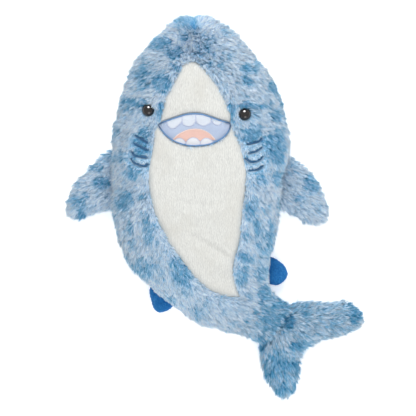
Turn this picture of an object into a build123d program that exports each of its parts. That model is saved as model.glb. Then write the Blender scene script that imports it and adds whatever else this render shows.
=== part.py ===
from build123d import *
import math
import os

# Plush shark lying on its back, belly up, on a flat surface.
# Frame: +Y runs from the tail towards the crown of the head, +X to the
# viewer's right when looking down on the belly, +Z up from the surface the
# toy lies on.  The origin is at the centre of the footprint, on that surface.
# All lengths in millimetres.

# ---------------------------------------------------------------- dimensions
PILE_SKIN = 3.0          # thickness of the fur cloth of the torso
FIN_SKIN = 2.5           # thickness of the cloth of the fins
PATCH = 1.8              # how far embroidery stands proud of the cloth
SEAM_Z = 36.0            # height of the side seam between front and back cloth
CLEAR = 0.4              # clearance between bodies that move
EYE_R = 7.6              # radius of the domed safety eye
EYE_H = 6.5              # height of its dome
SHANK_R = 2.4            # eye shank radius
WASHER_R = 9.0           # locking washer radius
FLIPPER_R = 12.0         # half thickness of a flipper at its root
TAIL_FIN_R = 12.0        # half thickness of the tail fin at its root
PELVIC_R = 5.0           # half thickness of a pelvic fin
DORSAL_R = 4.2           # half thickness of the folded dorsal fin
WAG_LIMIT = 26.0         # tail swing away from the curl, degrees
LIFT_UP, LIFT_DOWN = 60.0, 15.0

# Stations along the body: left edge, right edge, lowest and highest point.
STATIONS = [
    ((-38.0, 240.5), (-12.0, 240.5), 13.0, 36.0),
    ((-60.0, 223.0), (15.5, 222.5), 5.0, 56.0),
    ((-82.0, 200.5), (42.5, 200.0), 0.0, 71.0),
    ((-100.5, 177.5), (61.0, 176.0), -2.0, 82.0),
    ((-114.5, 147.5), (79.5, 147.5), -3.0, 90.0),
    ((-126.0, 96.0), (94.5, 96.0), -3.0, 95.0),
    ((-128.0, 68.0), (94.0, 68.0), -3.0, 96.0),
    ((-127.5, 40.0), (87.5, 40.0), -3.0, 95.0),
    ((-127.0, 9.0), (83.0, 9.0), -3.0, 94.0),
    ((-125.0, -20.0), (82.0, -13.0), -3.0, 91.0),
    ((-111.5, -63.0), (77.5, -43.0), -3.0, 83.0),
    ((-93.0, -91.0), (73.5, -58.0), -3.0, 76.0),
    ((-65.0, -118.0), (71.5, -74.0), -3.0, 67.0),
    ((-28.0, -141.0), (71.5, -88.0), -3.0, 57.0),
    ((8.0, -154.0), (74.5, -100.0), -3.0, 48.0),
    ((36.0, -162.0), (81.5, -110.0), -2.5, 39.0),
    ((56.0, -172.0), (94.0, -121.0), -2.0, 31.0),
]

# Seam outlines seen from above.
SNOUT = [(-26.5, 182.5), (-37.0, 178.0), (-42.0, 171.0), (-45.5, 164.0),
         (-49.5, 156.0), (-53.0, 149.0), (-57.5, 141.0), (-61.0, 134.0),
         (-63.0, 126.0), (-64.5, 119.0), (-66.0, 111.0), (-67.5, 102.75),
         (-62.0, 105.25), (-52.0, 108.5), (-42.0, 112.0), (-33.0, 114.5),
         (-23.0, 115.25), (-14.5, 114.5), (-4.5, 111.5), (5.5, 107.75),
         (14.5, 105.25), (20.75, 103.5), (22.0, 111.0), (20.5, 119.0),
         (18.0, 126.0), (15.0, 134.0), (11.0, 141.0), (7.0, 149.0),
         (1.0, 156.0), (-4.5, 164.0), (-10.5, 171.0), (-18.0, 178.0)]
MOUTH_TOP = [(-67.5, 102.75), (-62.0, 105.25), (-52.0, 108.5),
             (-42.0, 112.0), (-33.0, 114.5), (-23.0, 115.25),
             (-14.5, 114.5), (-4.5, 111.5), (5.5, 107.75), (14.5, 105.25),
             (20.75, 103.5)]
MOUTH_LOW = [(20.75, 100.0), (18.75, 94.5), (14.5, 88.5), (7.0, 82.75),
             (-3.0, 78.5), (-13.0, 76.5), (-23.0, 76.0), (-32.0, 76.5),
             (-40.5, 78.5), (-49.5, 82.25), (-57.0, 87.5), (-63.0, 93.75),
             (-67.5, 100.0)]
BELLY = [(-67.5, 100.0), (-69.5, 101.0), (-74.0, 94.0), (-74.5, 81.0),
         (-77.0, 65.0), (-79.5, 52.5), (-81.0, 40.0), (-80.5, 25.0),
         (-78.0, 10.0), (-75.0, -2.5), (-70.5, -16.0), (-64.5, -27.5),
         (-56.0, -45.0), (-50.0, -54.0), (-43.0, -62.5), (-33.0, -77.0),
         (-22.0, -90.5), (-8.5, -102.0), (7.0, -109.5), (19.5, -113.0),
         (34.0, -113.0), (31.0, -104.5), (28.0, -95.0), (25.5, -85.0),
         (25.0, -74.0), (27.5, -62.5), (31.0, -51.0), (34.0, -35.0),
         (35.5, -19.0), (37.5, 1.0), (40.0, 19.0), (41.0, 34.0),
         (40.5, 47.5), (37.0, 62.5), (33.0, 79.5), (28.0, 90.5),
         (23.0, 101.0), (20.75, 100.0)]
# The curved line of the nose-to-tail seams that part left from right.
MIDLINE = [(-25.0, 262.0), (-26.5, 182.5), (-23.0, 95.0), (-19.0, 40.0),
           (-18.0, -20.0), (0.0, -75.0), (34.0, -113.0), (50.0, -131.0),
           (84.0, -155.0), (150.0, -215.0)]
TONGUE = [(-48.0, 84.0), (-42.0, 89.5), (-33.0, 94.25), (-24.5, 95.75),
          (-15.5, 95.0), (-7.0, 91.25), (-1.5, 85.0), (-7.5, 87.5),
          (-12.0, 85.5), (-15.5, 82.8), (-19.5, 86.2), (-24.5, 88.0),
          (-29.5, 86.2), (-33.0, 83.0), (-37.0, 85.0), (-42.0, 87.0),
          (-45.5, 86.0)]
LOW_TEETH = [[(-46.5, 83.0), (-44.5, 84.2), (-42.0, 84.5), (-38.0, 82.8),
              (-34.5, 81.0), (-38.0, 80.9), (-43.0, 82.2)],
             [(-31.5, 81.0), (-29.5, 83.5), (-24.5, 85.3), (-19.5, 83.5),
              (-17.3, 81.0), (-24.5, 79.0)],
             [(-14.0, 81.0), (-12.0, 82.8), (-7.5, 84.8), (-4.5, 84.0),
              (-3.0, 82.5), (-8.0, 80.2)]]
UP_TEETH = [[(-57.5, 103.8), (-55.5, 100.6), (-52.0, 97.2), (-47.5, 97.9),
             (-43.8, 101.5), (-40.0, 105.5), (-40.3, 108.9),
             (-48.0, 106.5)],
            [(-38.6, 109.0), (-37.8, 104.8), (-36.0, 101.6),
             (-30.75, 99.7), (-25.9, 101.6), (-22.9, 107.0),
             (-23.5, 112.0), (-31.0, 111.5)],
            [(-21.2, 112.0), (-20.9, 107.0), (-18.4, 102.9),
             (-13.0, 100.2), (-7.9, 102.1), (-4.2, 105.2),
             (-4.6, 108.2), (-13.0, 111.0)],
            [(-2.2, 107.4), (-1.8, 105.4), (0.8, 103.2), (5.75, 100.7),
             (10.8, 101.7), (11.0, 103.4), (4.5, 105.2)]]
EYES = {"left": (-80.75, 120.25), "right": (38.5, 115.0)}
GILLS = {
    "left": [[(-97.0, 89.0), (-81.5, 80.0)], [(-98.0, 79.0), (-81.5, 71.0)],
             [(-101.0, 68.5), (-97.0, 63.8), (-82.5, 61.5)],
             [(-102.5, 60.5), (-97.0, 54.5), (-86.0, 51.0), (-82.0, 53.5)]],
    "right": [[(41.5, 78.0), (54.0, 81.0), (59.5, 85.5)],
              [(43.5, 67.0), (52.0, 69.3), (59.5, 74.0)],
              [(39.5, 60.5), (47.0, 56.0), (57.0, 59.0), (61.0, 63.5)],
              [(44.5, 45.5), (54.5, 47.0), (61.0, 51.5)]],
}
# Flipper blades beyond the hinge line, seen from above.
FLIPPER_L = [(-133.0, 70.5), (-140.5, 66.0), (-147.0, 59.0),
             (-162.0, 44.0), (-172.0, 36.0), (-180.5, 21.0),
             (-186.0, 6.0), (-187.5, -1.0), (-184.5, -8.0),
             (-179.5, -14.0), (-170.5, -17.0), (-162.0, -15.5),
             (-152.0, -12.0), (-142.0, -8.0), (-133.0, -6.0)]
FLIPPER_R_PTS = [(96.6, 65.0), (104.5, 59.5), (114.5, 52.0), (123.0, 45.0),
                 (134.5, 29.0), (141.0, 14.0), (144.5, -1.0),
                 (144.5, -11.0), (141.0, -17.5), (134.5, -22.5),
                 (125.5, -23.0), (114.5, -21.0), (104.5, -16.0),
                 (95.5, -11.0), (85.6, -5.0)]
TAIL_FIN = [(95.0, -119.5), (108.0, -119.0), (127.0, -118.5),
            (152.0, -118.5), (170.5, -120.0), (180.0, -125.0),
            (186.0, -132.5), (187.5, -139.0), (184.5, -149.0),
            (177.0, -154.5), (164.5, -160.0), (148.0, -165.0),
            (133.0, -170.0), (122.0, -175.0), (114.5, -181.5),
            (110.5, -190.0), (109.5, -197.5), (107.5, -210.0),
            (105.5, -221.0), (100.5, -231.0), (95.5, -237.5),
            (89.5, -240.5), (82.0, -239.0), (74.5, -230.0),
            (67.0, -219.0), (62.5, -209.0), (59.5, -196.0),
            (57.5, -186.0), (55.3, -172.5)]
PELVIC_L_BASE = ((-79.5, -101.7), (-50.5, -123.7))
PELVIC_L = [(-79.5, -101.7), (-81.5, -105.0), (-80.5, -111.0),
            (-78.0, -119.5), (-75.5, -127.5), (-71.0, -132.5),
            (-66.0, -133.5), (-57.0, -130.5), (-51.5, -127.0),
            (-50.5, -123.7)]
PELVIC_R_BASE = ((77.5, -64.5), (76.5, -98.0))
PELVIC_R_PTS = [(77.5, -64.5), (80.5, -67.0), (86.0, -71.0), (90.0, -75.0),
                (92.5, -80.0), (93.5, -84.0), (92.5, -88.5), (88.0, -94.0),
                (84.0, -97.0), (80.0, -99.0), (76.5, -98.0)]
# Dorsal fin folded flat to the right under the back; its root is on x = -22.
DORSAL = [(-22.0, 62.0), (-8.0, 50.0), (8.0, 32.0), (19.0, 12.0),
          (25.0, -6.0), (24.0, -14.0), (17.0, -17.0), (3.0, -13.0),
          (-10.0, -10.0), (-22.0, -10.0)]

# Joint axes: a point and a direction.
LEFT_FLIPPER_AXIS = ((-133.0, 32.0, 12.3), (0.0, 1.0, 0.0))
RF0, RF1 = (96.6, 65.0), (85.6, -5.0)
WAG_POINT = (41.0, -127.0)
TF0, TF1 = (95.0, -119.5), (55.3, -172.5)


# ------------------------------------------------------------------- helpers
def unit(x, y):
    n = math.hypot(x, y)
    return x / n, y / n


def ring(station, grow):
    # Closed section in the upright plane through the station's two edges.
    (lx, ly), (rx, ry), low, high = station
    ux, uy = unit(rx - lx, ry - ly)
    half = math.hypot(rx - lx, ry - ly) / 2 + grow
    cx, cy = (lx + rx) / 2, (ly + ry) / 2
    mid = SEAM_Z * 0.35 + (low + high) / 2 * 0.65
    up, down = high + grow - mid, mid - (low - grow)
    points = []
    for k in range(20):
        t = 2 * math.pi * k / 20
        c, s = math.cos(t), math.sin(t)
        e = 2 / 2.35 if s >= 0 else 2 / 2.7
        x = half * math.copysign(abs(c) ** e, c)
        z = mid + (up if s >= 0 else down) * math.copysign(abs(s) ** e, s)
        points.append((cx + ux * x, cy + uy * x, z))
    return Wire.make_polygon([Vector(*p) for p in points])


def body_loft(grow, first_shift=0.0):
    stations = list(STATIONS)
    (lx, ly), (rx, ry), low, high = stations[0]
    stations[0] = ((lx, ly - first_shift), (rx, ry - first_shift), low, high)
    rings = [ring(s, grow) for s in stations]
    return Solid.make_loft(rings, ruled=False)


def prism(points, z0, z1):
    face = Face(Wire.make_polygon([Vector(x, y, z0) for x, y in points]))
    return Solid.extrude(face, Vector(0, 0, z1 - z0))


def slab_box(x0, y0, z0, x1, y1, z1):
    return Pos((x0 + x1) / 2, (y0 + y1) / 2, (z0 + z1) / 2) * Box(
        x1 - x0, y1 - y0, z1 - z0)


def scaled(points, centre, k):
    return [(centre[0] + (x - centre[0]) * k, centre[1] + (y - centre[1]) * k)
            for x, y in points]


def inset(points, d):
    # Moves every corner inwards by d along its bisector.
    n = len(points)
    area = sum(points[i][0] * points[(i + 1) % n][1]
               - points[(i + 1) % n][0] * points[i][1] for i in range(n))
    side = 1 if area > 0 else -1
    out = []
    for i in range(n):
        (ax, ay), (bx, by), (cx, cy) = (points[i - 1], points[i],
                                        points[(i + 1) % n])
        ux, uy = unit(bx - ax, by - ay)
        vx, vy = unit(cx - bx, cy - by)
        n1, n2 = (-uy * side, ux * side), (-vy * side, vx * side)
        mx, my = unit(n1[0] + n2[0], n1[1] + n2[1])
        k = d / max(0.45, mx * n1[0] + my * n1[1])
        out.append((bx + mx * k, by + my * k))
    return out


def between(points, z0, z1, d):
    # Bevelled layer: full outline at z0, inset by d at z1.
    a = Wire.make_polygon([Vector(x, y, z0) for x, y in points])
    b = Wire.make_polygon([Vector(x, y, z1) for x, y in inset(points, d)])
    return Solid.make_loft([a, b], ruled=True)


def pillow(points, zc, r, bevel):
    # Bevelled blade: a flat rim of 2 * flat, then sloping shoulders.
    flat = r * 0.45
    core = prism(points, zc - flat, zc + flat)
    top = between(points, zc + flat, zc + r, bevel)
    low = between(points, zc - flat, zc - r, bevel)
    return core.fuse(top, low).clean()


def rod(a, b, zc, r):
    dx, dy = b[0] - a[0], b[1] - a[1]
    plane = Plane(origin=(a[0], a[1], zc), x_dir=(0, 0, 1),
                  z_dir=(dx, dy, 0))
    return Solid.make_cylinder(r, math.hypot(dx, dy), plane)


def one(shape):
    # The largest single solid of a boolean's result.
    solids = shape.solids()
    return max(solids, key=lambda s: s.volume)


def fin(points, a, b, zc, r, skin, bevel):
    # A sewn fin: blade beyond the root line a-b plus a round root roll.
    ux, uy = unit(b[0] - a[0], b[1] - a[1])
    m = ((a[0] + b[0]) / 2, (a[1] + b[1]) / 2)
    cx = sum(p[0] for p in points) / len(points)
    cy = sum(p[1] for p in points) / len(points)
    nx, ny = -uy, ux
    if (cx - m[0]) * nx + (cy - m[1]) * ny < 0:
        nx, ny = -nx, -ny
    # The blade is drawn past its root line and trimmed back to it, so the
    # root is a plane at full thickness that the roll closes.
    back = r * 1.6

    def blade(pts, rr, bev, trim):
        k = [(p[0] - nx * back, p[1] - ny * back) for p in (pts[-1], pts[0])]
        body = pillow(pts + k, zc, rr, bev)
        far = 400.0
        keep = prism([(m[0] + ux * far + nx * trim, m[1] + uy * far + ny * trim),
                      (m[0] + ux * far + nx * far, m[1] + uy * far + ny * far),
                      (m[0] - ux * far + nx * far, m[1] - uy * far + ny * far),
                      (m[0] - ux * far + nx * trim, m[1] - uy * far + ny * trim)],
                     zc - 50, zc + 50)
        return one(body & keep)

    outer = blade(points, r, bevel, 0.0)
    outer = one(outer.fuse(rod(a, b, zc, r)).clean())
    inner_pts = inset(points, skin)
    inner = blade(inner_pts, r - skin, bevel, 0.0)
    a2 = (a[0] + ux * skin * 1.6, a[1] + uy * skin * 1.6)
    b2 = (b[0] - ux * skin * 1.6, b[1] - uy * skin * 1.6)
    inner = one(inner.fuse(rod(a2, b2, zc, r - skin)).clean())
    shell = outer - inner
    box = 900.0
    front = shell & slab_box(-box, -box, zc, box, box, 200)
    rear = shell & slab_box(-box, -box, -200, box, box, zc)
    small_pts = inset(points, skin + 0.3)
    core = blade(small_pts, r - skin - 0.3, bevel, 0.0)
    a3 = (a[0] + ux * (skin * 1.6 + 0.3), a[1] + uy * (skin * 1.6 + 0.3))
    b3 = (b[0] - ux * (skin * 1.6 + 0.3), b[1] - uy * (skin * 1.6 + 0.3))
    core = one(core.fuse(rod(a3, b3, zc, r - skin - 0.3)).clean())
    return one(front), one(rear), core


def band(points, width):
    # Thin closed outline around a run of stitches.
    left, right = [], []
    n = len(points)
    for i, (x, y) in enumerate(points):
        ax, ay = points[max(0, i - 1)]
        bx, by = points[min(n - 1, i + 1)]
        ux, uy = unit(bx - ax, by - ay)
        left.append((x - uy * width / 2, y + ux * width / 2))
        right.append((x + uy * width / 2, y - ux * width / 2))
    return left + right[::-1]


def save(shape, name):
    shape.label = name
    export_step(shape, f"parts/{name}.step")


def group(solids):
    return Compound(children=list(solids)) if len(solids) > 1 else solids[0]


# -------------------------------------------------------------------- torso
os.makedirs("parts", exist_ok=True)
BIG = 900.0
outer = body_loft(0.0)
inner = body_loft(-PILE_SKIN, PILE_SKIN)
core = body_loft(-PILE_SKIN - 0.3, PILE_SKIN + 0.3)
proud = body_loft(PATCH)
above = slab_box(-BIG, -BIG, 0.0, BIG, BIG, 300.0)
outer = one(outer & above)
inner = one(inner & slab_box(-BIG, -BIG, PILE_SKIN, BIG, BIG, 300.0))
core = one(core & slab_box(-BIG, -BIG, PILE_SKIN + 0.3, BIG, BIG, 300.0))

# Tail swing: a round vertical hinge face between torso and tail stem.
(lx, ly), (rx, ry) = STATIONS[14][0], STATIONS[14][1]
tx, ty = unit(rx - lx, ry - ly)          # across the stem
dx, dy = ty, -tx                         # towards the flukes
WAG_R = 40.0


def sector(half_deg, towards, radius=500.0):
    # Wedge about the hinge line, opening towards a direction.
    px, py = WAG_POINT
    base = math.atan2(towards[1], towards[0])
    pts = [(px, py)]
    for k in range(7):
        t = base + math.radians(half_deg) * (k / 3.0 - 1)
        pts.append((px + radius * math.cos(t), py + radius * math.sin(t)))
    return prism(pts, -50.0, 300.0)


disc = Solid.make_cylinder(WAG_R, 350.0,
                           Plane(origin=(WAG_POINT[0], WAG_POINT[1], -50.0)))
socket = Solid.make_cylinder(WAG_R + CLEAR, 350.0,
                             Plane(origin=(WAG_POINT[0], WAG_POINT[1], -50.0)))
gap = WAG_LIMIT / 2 + 1.5
tail_side = sector(90.0 + gap, (dx, dy))
stem_side = sector(90.0 - gap, (dx, dy))

# Tail fin hinge across the end of the stem.
fx, fy = unit(TF1[0] - TF0[0], TF1[1] - TF0[1])
nx, ny = -fy, fx
if nx * dx + ny * dy < 0:
    nx, ny = -nx, -ny
fm = ((TF0[0] + TF1[0]) / 2, (TF0[1] + TF1[1]) / 2)
TAIL_Z = TAIL_FIN_R + 0.3
far0 = (fm[0] - fx * 60, fm[1] - fy * 60)
far1 = (fm[0] + fx * 60, fm[1] + fy * 60)
root_roll = rod(far0, far1, TAIL_Z, TAIL_FIN_R + CLEAR)
beyond = []
for deg in (-LIFT_DOWN - 1, 0.0, 20.0, 40.0, LIFT_UP + 1):
    blade = slab_box(0.0, -70.0, -TAIL_FIN_R - CLEAR, 260.0, 70.0,
                     TAIL_FIN_R + CLEAR)
    place = Plane(origin=(fm[0], fm[1], TAIL_Z),
                  x_dir=(nx * math.cos(math.radians(deg)),
                         ny * math.cos(math.radians(deg)),
                         math.sin(math.radians(deg))),
                  z_dir=(-nx * math.sin(math.radians(deg)),
                         -ny * math.sin(math.radians(deg)),
                         math.cos(math.radians(deg))))
    beyond.append(place.location * blade)
past_fin = prism([(fm[0] + fx * 90 + nx * 0.0, fm[1] + fy * 90 + ny * 0.0),
                  (fm[0] + fx * 90 + nx * 300, fm[1] + fy * 90 + ny * 300),
                  (fm[0] - fx * 90 + nx * 300, fm[1] - fy * 90 + ny * 300),
                  (fm[0] - fx * 90 + nx * 0.0, fm[1] - fy * 90 + ny * 0.0)],
                 -50, 300)


def torso_part(solid):
    return one(solid - socket - tail_side)


def stem_part(solid, clear_r=0.0):
    piece = (solid & disc).fuse(solid & stem_side)
    piece = piece.clean() - past_fin - root_roll
    for blade in beyond:
        piece = piece - blade
    return one(piece)


# The dorsal fin folds into a shallow pocket in the back.
def half_space_floor(points, grow, top):
    return prism(inset(points, -grow), -20.0, top)


D0, D1 = (-22.0, 62.0), (-22.0, -10.0)
DORSAL_Z = DORSAL_R + 0.2
pocket_pts = [(-28.5, 65.0), (-14.0, 62.5), (12.0, 38.0), (24.0, 14.0),
              (29.5, -6.0), (28.0, -19.0), (16.0, -22.0), (0.0, -17.0),
              (-28.5, -14.0)]
pocket = prism(pocket_pts, -20.0, 2 * DORSAL_R + 1.6)
lining = prism(inset(pocket_pts, -PILE_SKIN), -20.0,
               2 * DORSAL_R + 1.6 + PILE_SKIN)
lining_core = prism(inset(pocket_pts, -PILE_SKIN - 0.3), -20.0,
                    2 * DORSAL_R + 1.6 + PILE_SKIN + 0.3)

torso_outer = torso_part(outer - pocket)
torso_inner = torso_part(inner - lining)
# The torso's stuffing keeps off the hinge face by the cloth's thickness.
inner_socket = Solid.make_cylinder(WAG_R + CLEAR + PILE_SKIN, 350.0, Plane(
    origin=(WAG_POINT[0], WAG_POINT[1], -50.0)))
torso_inner = one(torso_inner - inner_socket)
core_socket = Solid.make_cylinder(WAG_R + CLEAR + PILE_SKIN + 0.3, 350.0,
                                  Plane(origin=(WAG_POINT[0], WAG_POINT[1],
                                                -50.0)))
torso_core = one(torso_part(core - lining_core) - core_socket)
shell = torso_outer - torso_inner

left_side = prism([(-400, 262)] + MIDLINE + [(-400, -215)], -30, 300)
front = slab_box(-BIG, -BIG, SEAM_Z, BIG, BIG, 300)
rear = slab_box(-BIG, -BIG, -50, BIG, BIG, SEAM_Z)
snout_prism = prism(SNOUT, SEAM_Z + 5, 200)
mouth_pts = MOUTH_TOP + MOUTH_LOW
mouth_prism = prism(mouth_pts, SEAM_Z + 5, 200)
belly_pts = [p for p in BELLY[:-1]] + MOUTH_LOW[:-1]
belly_prism = prism(belly_pts, SEAM_Z + 1.0, 200)

front_shell = shell & front
rear_shell = shell & rear
snout = one(front_shell & snout_prism)
mouth = one(front_shell & mouth_prism)
belly = one(front_shell & belly_prism)
side_cloth = front_shell - snout_prism - mouth_prism - belly_prism
left_panel = one(side_cloth & left_side)
right_panel = one(side_cloth - left_side)
back_left = one(rear_shell & left_side)
back_right = one(rear_shell - left_side)

# Embroidery and applique, standing a little proud of the cloth.
raised = proud - outer


def patch(points):
    return one(raised & prism(points, SEAM_Z + 5, 200))


mouth_ring = one(raised & (prism(inset(mouth_pts, -1.4), SEAM_Z + 5, 200)
                           - prism(inset(mouth_pts, 1.4), SEAM_Z + 5, 200)))
tongue = patch(TONGUE)
upper_teeth = [patch(p) for p in UP_TEETH]
lower_teeth = [patch(p) for p in LOW_TEETH]
gills = {s: [patch(band(p, 2.2)) for p in runs] for s, runs in GILLS.items()}


# Safety eyes: dome outside, shank through the cloth, washer inside.
def surface_at(x, y):
    # Where an upright line through (x, y) leaves the top of the body.
    probe = Solid.make_box(0.2, 0.2, 200, Plane(origin=(x - .1, y - .1, 30)))
    hit = one(outer & probe)
    return hit.bounding_box().max.Z


def normal_at(x, y):
    h = 6.0
    gx = (surface_at(x + h, y) - surface_at(x - h, y)) / (2 * h)
    gy = (surface_at(x, y + h) - surface_at(x, y - h)) / (2 * h)
    return Vector(-gx, -gy, 1).normalized()


eye_parts = {}
eye_cuts = []
core_cuts = []
for side, (ex, ey) in EYES.items():
    top = surface_at(ex, ey)
    normal = normal_at(ex, ey)
    seat = Vector(ex, ey, top) - normal * 1.2
    plane = Plane(origin=seat, z_dir=normal)
    ball_r = (EYE_R ** 2 + EYE_H ** 2) / (2 * EYE_H)
    ball = Solid.make_sphere(ball_r, Plane(origin=seat - normal * (
        ball_r - EYE_H), z_dir=normal), angle1=-90, angle2=90, angle3=360)
    keep = Solid.make_cylinder(EYE_R + 6, 30, plane)
    dome = one(ball & keep)
    shank = Solid.make_cylinder(
        SHANK_R, 9.0, Plane(origin=seat - normal * 9.0, z_dir=normal))
    eye = one(dome.fuse(shank).clean())
    washer_plane = Plane(origin=seat - normal * 7.2, z_dir=normal)
    washer = Solid.make_cylinder(WASHER_R, 1.6, washer_plane)
    bore = Solid.make_cylinder(SHANK_R + 0.1, 20, Plane(
        origin=seat - normal * 15, z_dir=normal))
    washer = one(washer - bore)
    eye_cuts.append(Solid.make_cylinder(EYE_R + 0.2, 20, plane))
    eye_cuts.append(Solid.make_cylinder(SHANK_R + 0.1, 20, Plane(
        origin=seat - normal * 15, z_dir=normal)))
    core_cuts.append(Solid.make_cylinder(WASHER_R + 0.3, 14, Plane(
        origin=seat - normal * 11.5, z_dir=normal)))
    eye_parts[side] = (eye, washer)

for cut in eye_cuts:
    left_panel = one(left_panel - cut)
    right_panel = one(right_panel - cut)
    snout = one(snout - cut)
for cut in core_cuts:
    torso_core = one(torso_core - cut)

save(left_panel, "left_side_panel")
save(right_panel, "right_side_panel")
save(back_left, "back_panel_left")
save(back_right, "back_panel_right")
save(snout, "snout_panel")
save(belly, "belly_panel")
save(mouth, "mouth_lining")
save(mouth_ring, "mouth_outline")
save(tongue, "tongue")
save(group(upper_teeth), "upper_teeth")
save(group(lower_teeth), "lower_teeth")
save(group(gills["left"]), "left_gill_threads")
save(group(gills["right"]), "right_gill_threads")
for side in ("left", "right"):
    save(eye_parts[side][0], f"{side}_eye")
    save(eye_parts[side][1], f"{side}_eye_washer")
save(torso_core, "torso_stuffing")

# ---------------------------------------------------------------- tail stem
stem_outer = stem_part(outer)
stem_inner_body = stem_part(inner)
inner_disc = Solid.make_cylinder(WAG_R - PILE_SKIN, 350.0, Plane(
    origin=(WAG_POINT[0], WAG_POINT[1], -50.0)))
core_disc = Solid.make_cylinder(WAG_R - PILE_SKIN - 0.3, 350.0, Plane(
    origin=(WAG_POINT[0], WAG_POINT[1], -50.0)))


def stem_fill(solid, disc_solid, skin):
    # The fill stops one cloth thickness short of both hinge faces.
    sx, sy = WAG_POINT[0] + dx * skin, WAG_POINT[1] + dy * skin
    half = prism([(sx + tx * 300, sy + ty * 300),
                  (sx + tx * 300 + dx * 500, sy + ty * 300 + dy * 500),
                  (sx - tx * 300 + dx * 500, sy - ty * 300 + dy * 500),
                  (sx - tx * 300, sy - ty * 300)], -50, 300)
    piece = (solid & disc_solid).fuse(solid & half & stem_side).clean()
    roll = rod(far0, far1, TAIL_Z, TAIL_FIN_R + CLEAR + skin)
    piece = piece - roll
    for blade in beyond:
        piece = piece - (Pos(-nx * skin, -ny * skin, 0) * blade)
    keep = prism([(fm[0] + fx * 90 - nx * skin, fm[1] + fy * 90 - ny * skin),
                  (fm[0] + fx * 90 + nx * 300, fm[1] + fy * 90 + ny * 300),
                  (fm[0] - fx * 90 + nx * 300, fm[1] - fy * 90 + ny * 300),
                  (fm[0] - fx * 90 - nx * skin, fm[1] - fy * 90 - ny * skin)],
                 -50, 300)
    return one(piece - keep)


stem_hollow = stem_fill(inner, inner_disc, PILE_SKIN)
stem_core = stem_fill(core, core_disc, PILE_SKIN + 0.3)
stem_shell = stem_outer - stem_hollow
STEM_SEAM = 16.0
stem_front = one(stem_shell & slab_box(-BIG, -BIG, STEM_SEAM, BIG, BIG, 300))
stem_back = one(stem_shell & slab_box(-BIG, -BIG, -50, BIG, BIG, STEM_SEAM))
save(stem_front, "tail_stem_front_cover")
save(stem_back, "tail_stem_back_cover")
save(stem_core, "tail_stem_stuffing")

# ----------------------------------------------------------------- tail fin
front, rear, fill = fin(TAIL_FIN, TF0, TF1, TAIL_Z, TAIL_FIN_R, FIN_SKIN, 6.0)
save(front, "tail_fin_front_cover")
save(rear, "tail_fin_back_cover")
save(fill, "tail_fin_stuffing")

# ----------------------------------------------------------------- flippers
LF0 = (LEFT_FLIPPER_AXIS[0][0], 70.5)
LF1 = (LEFT_FLIPPER_AXIS[0][0], -6.0)
FLIPPER_Z = FLIPPER_R + 0.3
front, rear, fill = fin(FLIPPER_L, LF0, LF1, FLIPPER_Z, FLIPPER_R, FIN_SKIN,
                        6.0)
save(front, "left_flipper_front_cover")
save(rear, "left_flipper_back_cover")
save(fill, "left_flipper_stuffing")
front, rear, fill = fin(FLIPPER_R_PTS, RF0, RF1, FLIPPER_Z, FLIPPER_R,
                        FIN_SKIN, 6.0)
save(front, "right_flipper_front_cover")
save(rear, "right_flipper_back_cover")
save(fill, "right_flipper_stuffing")

# -------------------------------------------------------------- pelvic fins
PELVIC_Z = PELVIC_R + 0.2
for side, pts, (a, b) in (("left", PELVIC_L, PELVIC_L_BASE),
                          ("right", PELVIC_R_PTS, PELVIC_R_BASE)):
    front, rear, fill = fin(pts, a, b, PELVIC_Z, PELVIC_R, 1.6, 2.6)
    save(front, f"{side}_pelvic_fin_front_cover")
    save(rear, f"{side}_pelvic_fin_back_cover")
    save(fill, f"{side}_pelvic_fin_wadding")

# --------------------------------------------------------------- dorsal fin
front, rear, fill = fin(DORSAL, D0, D1, DORSAL_Z, DORSAL_R, 1.6, 2.6)
save(front, "dorsal_fin_left_cover")
save(rear, "dorsal_fin_right_cover")
save(fill, "dorsal_fin_wadding")
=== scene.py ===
import math

import bpy
import numpy as np
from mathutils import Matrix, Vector, geometry
from mathutils.bvhtree import BVHTree
from mathutils.kdtree import KDTree


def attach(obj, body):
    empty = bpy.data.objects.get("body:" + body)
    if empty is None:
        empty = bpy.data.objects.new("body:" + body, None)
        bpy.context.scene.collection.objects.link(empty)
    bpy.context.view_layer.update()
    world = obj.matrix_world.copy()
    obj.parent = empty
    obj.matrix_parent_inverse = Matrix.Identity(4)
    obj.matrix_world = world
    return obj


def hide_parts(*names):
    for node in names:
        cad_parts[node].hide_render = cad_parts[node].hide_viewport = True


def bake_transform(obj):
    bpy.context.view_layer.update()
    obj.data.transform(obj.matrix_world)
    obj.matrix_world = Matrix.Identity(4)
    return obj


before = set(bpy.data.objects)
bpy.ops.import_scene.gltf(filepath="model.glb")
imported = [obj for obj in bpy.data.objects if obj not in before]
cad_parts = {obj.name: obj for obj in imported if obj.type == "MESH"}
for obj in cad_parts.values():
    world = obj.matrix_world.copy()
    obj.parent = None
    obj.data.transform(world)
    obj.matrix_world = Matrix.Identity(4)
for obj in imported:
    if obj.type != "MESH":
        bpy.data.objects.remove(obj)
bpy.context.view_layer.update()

MM = 0.001
SEAM_Z = 36.0
INSET = 5.6              # how far the cloth lies below the tips of the pile
INSET_LOW = 3.0
TAIL_CUT = 15            # station where the tail piece starts

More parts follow.
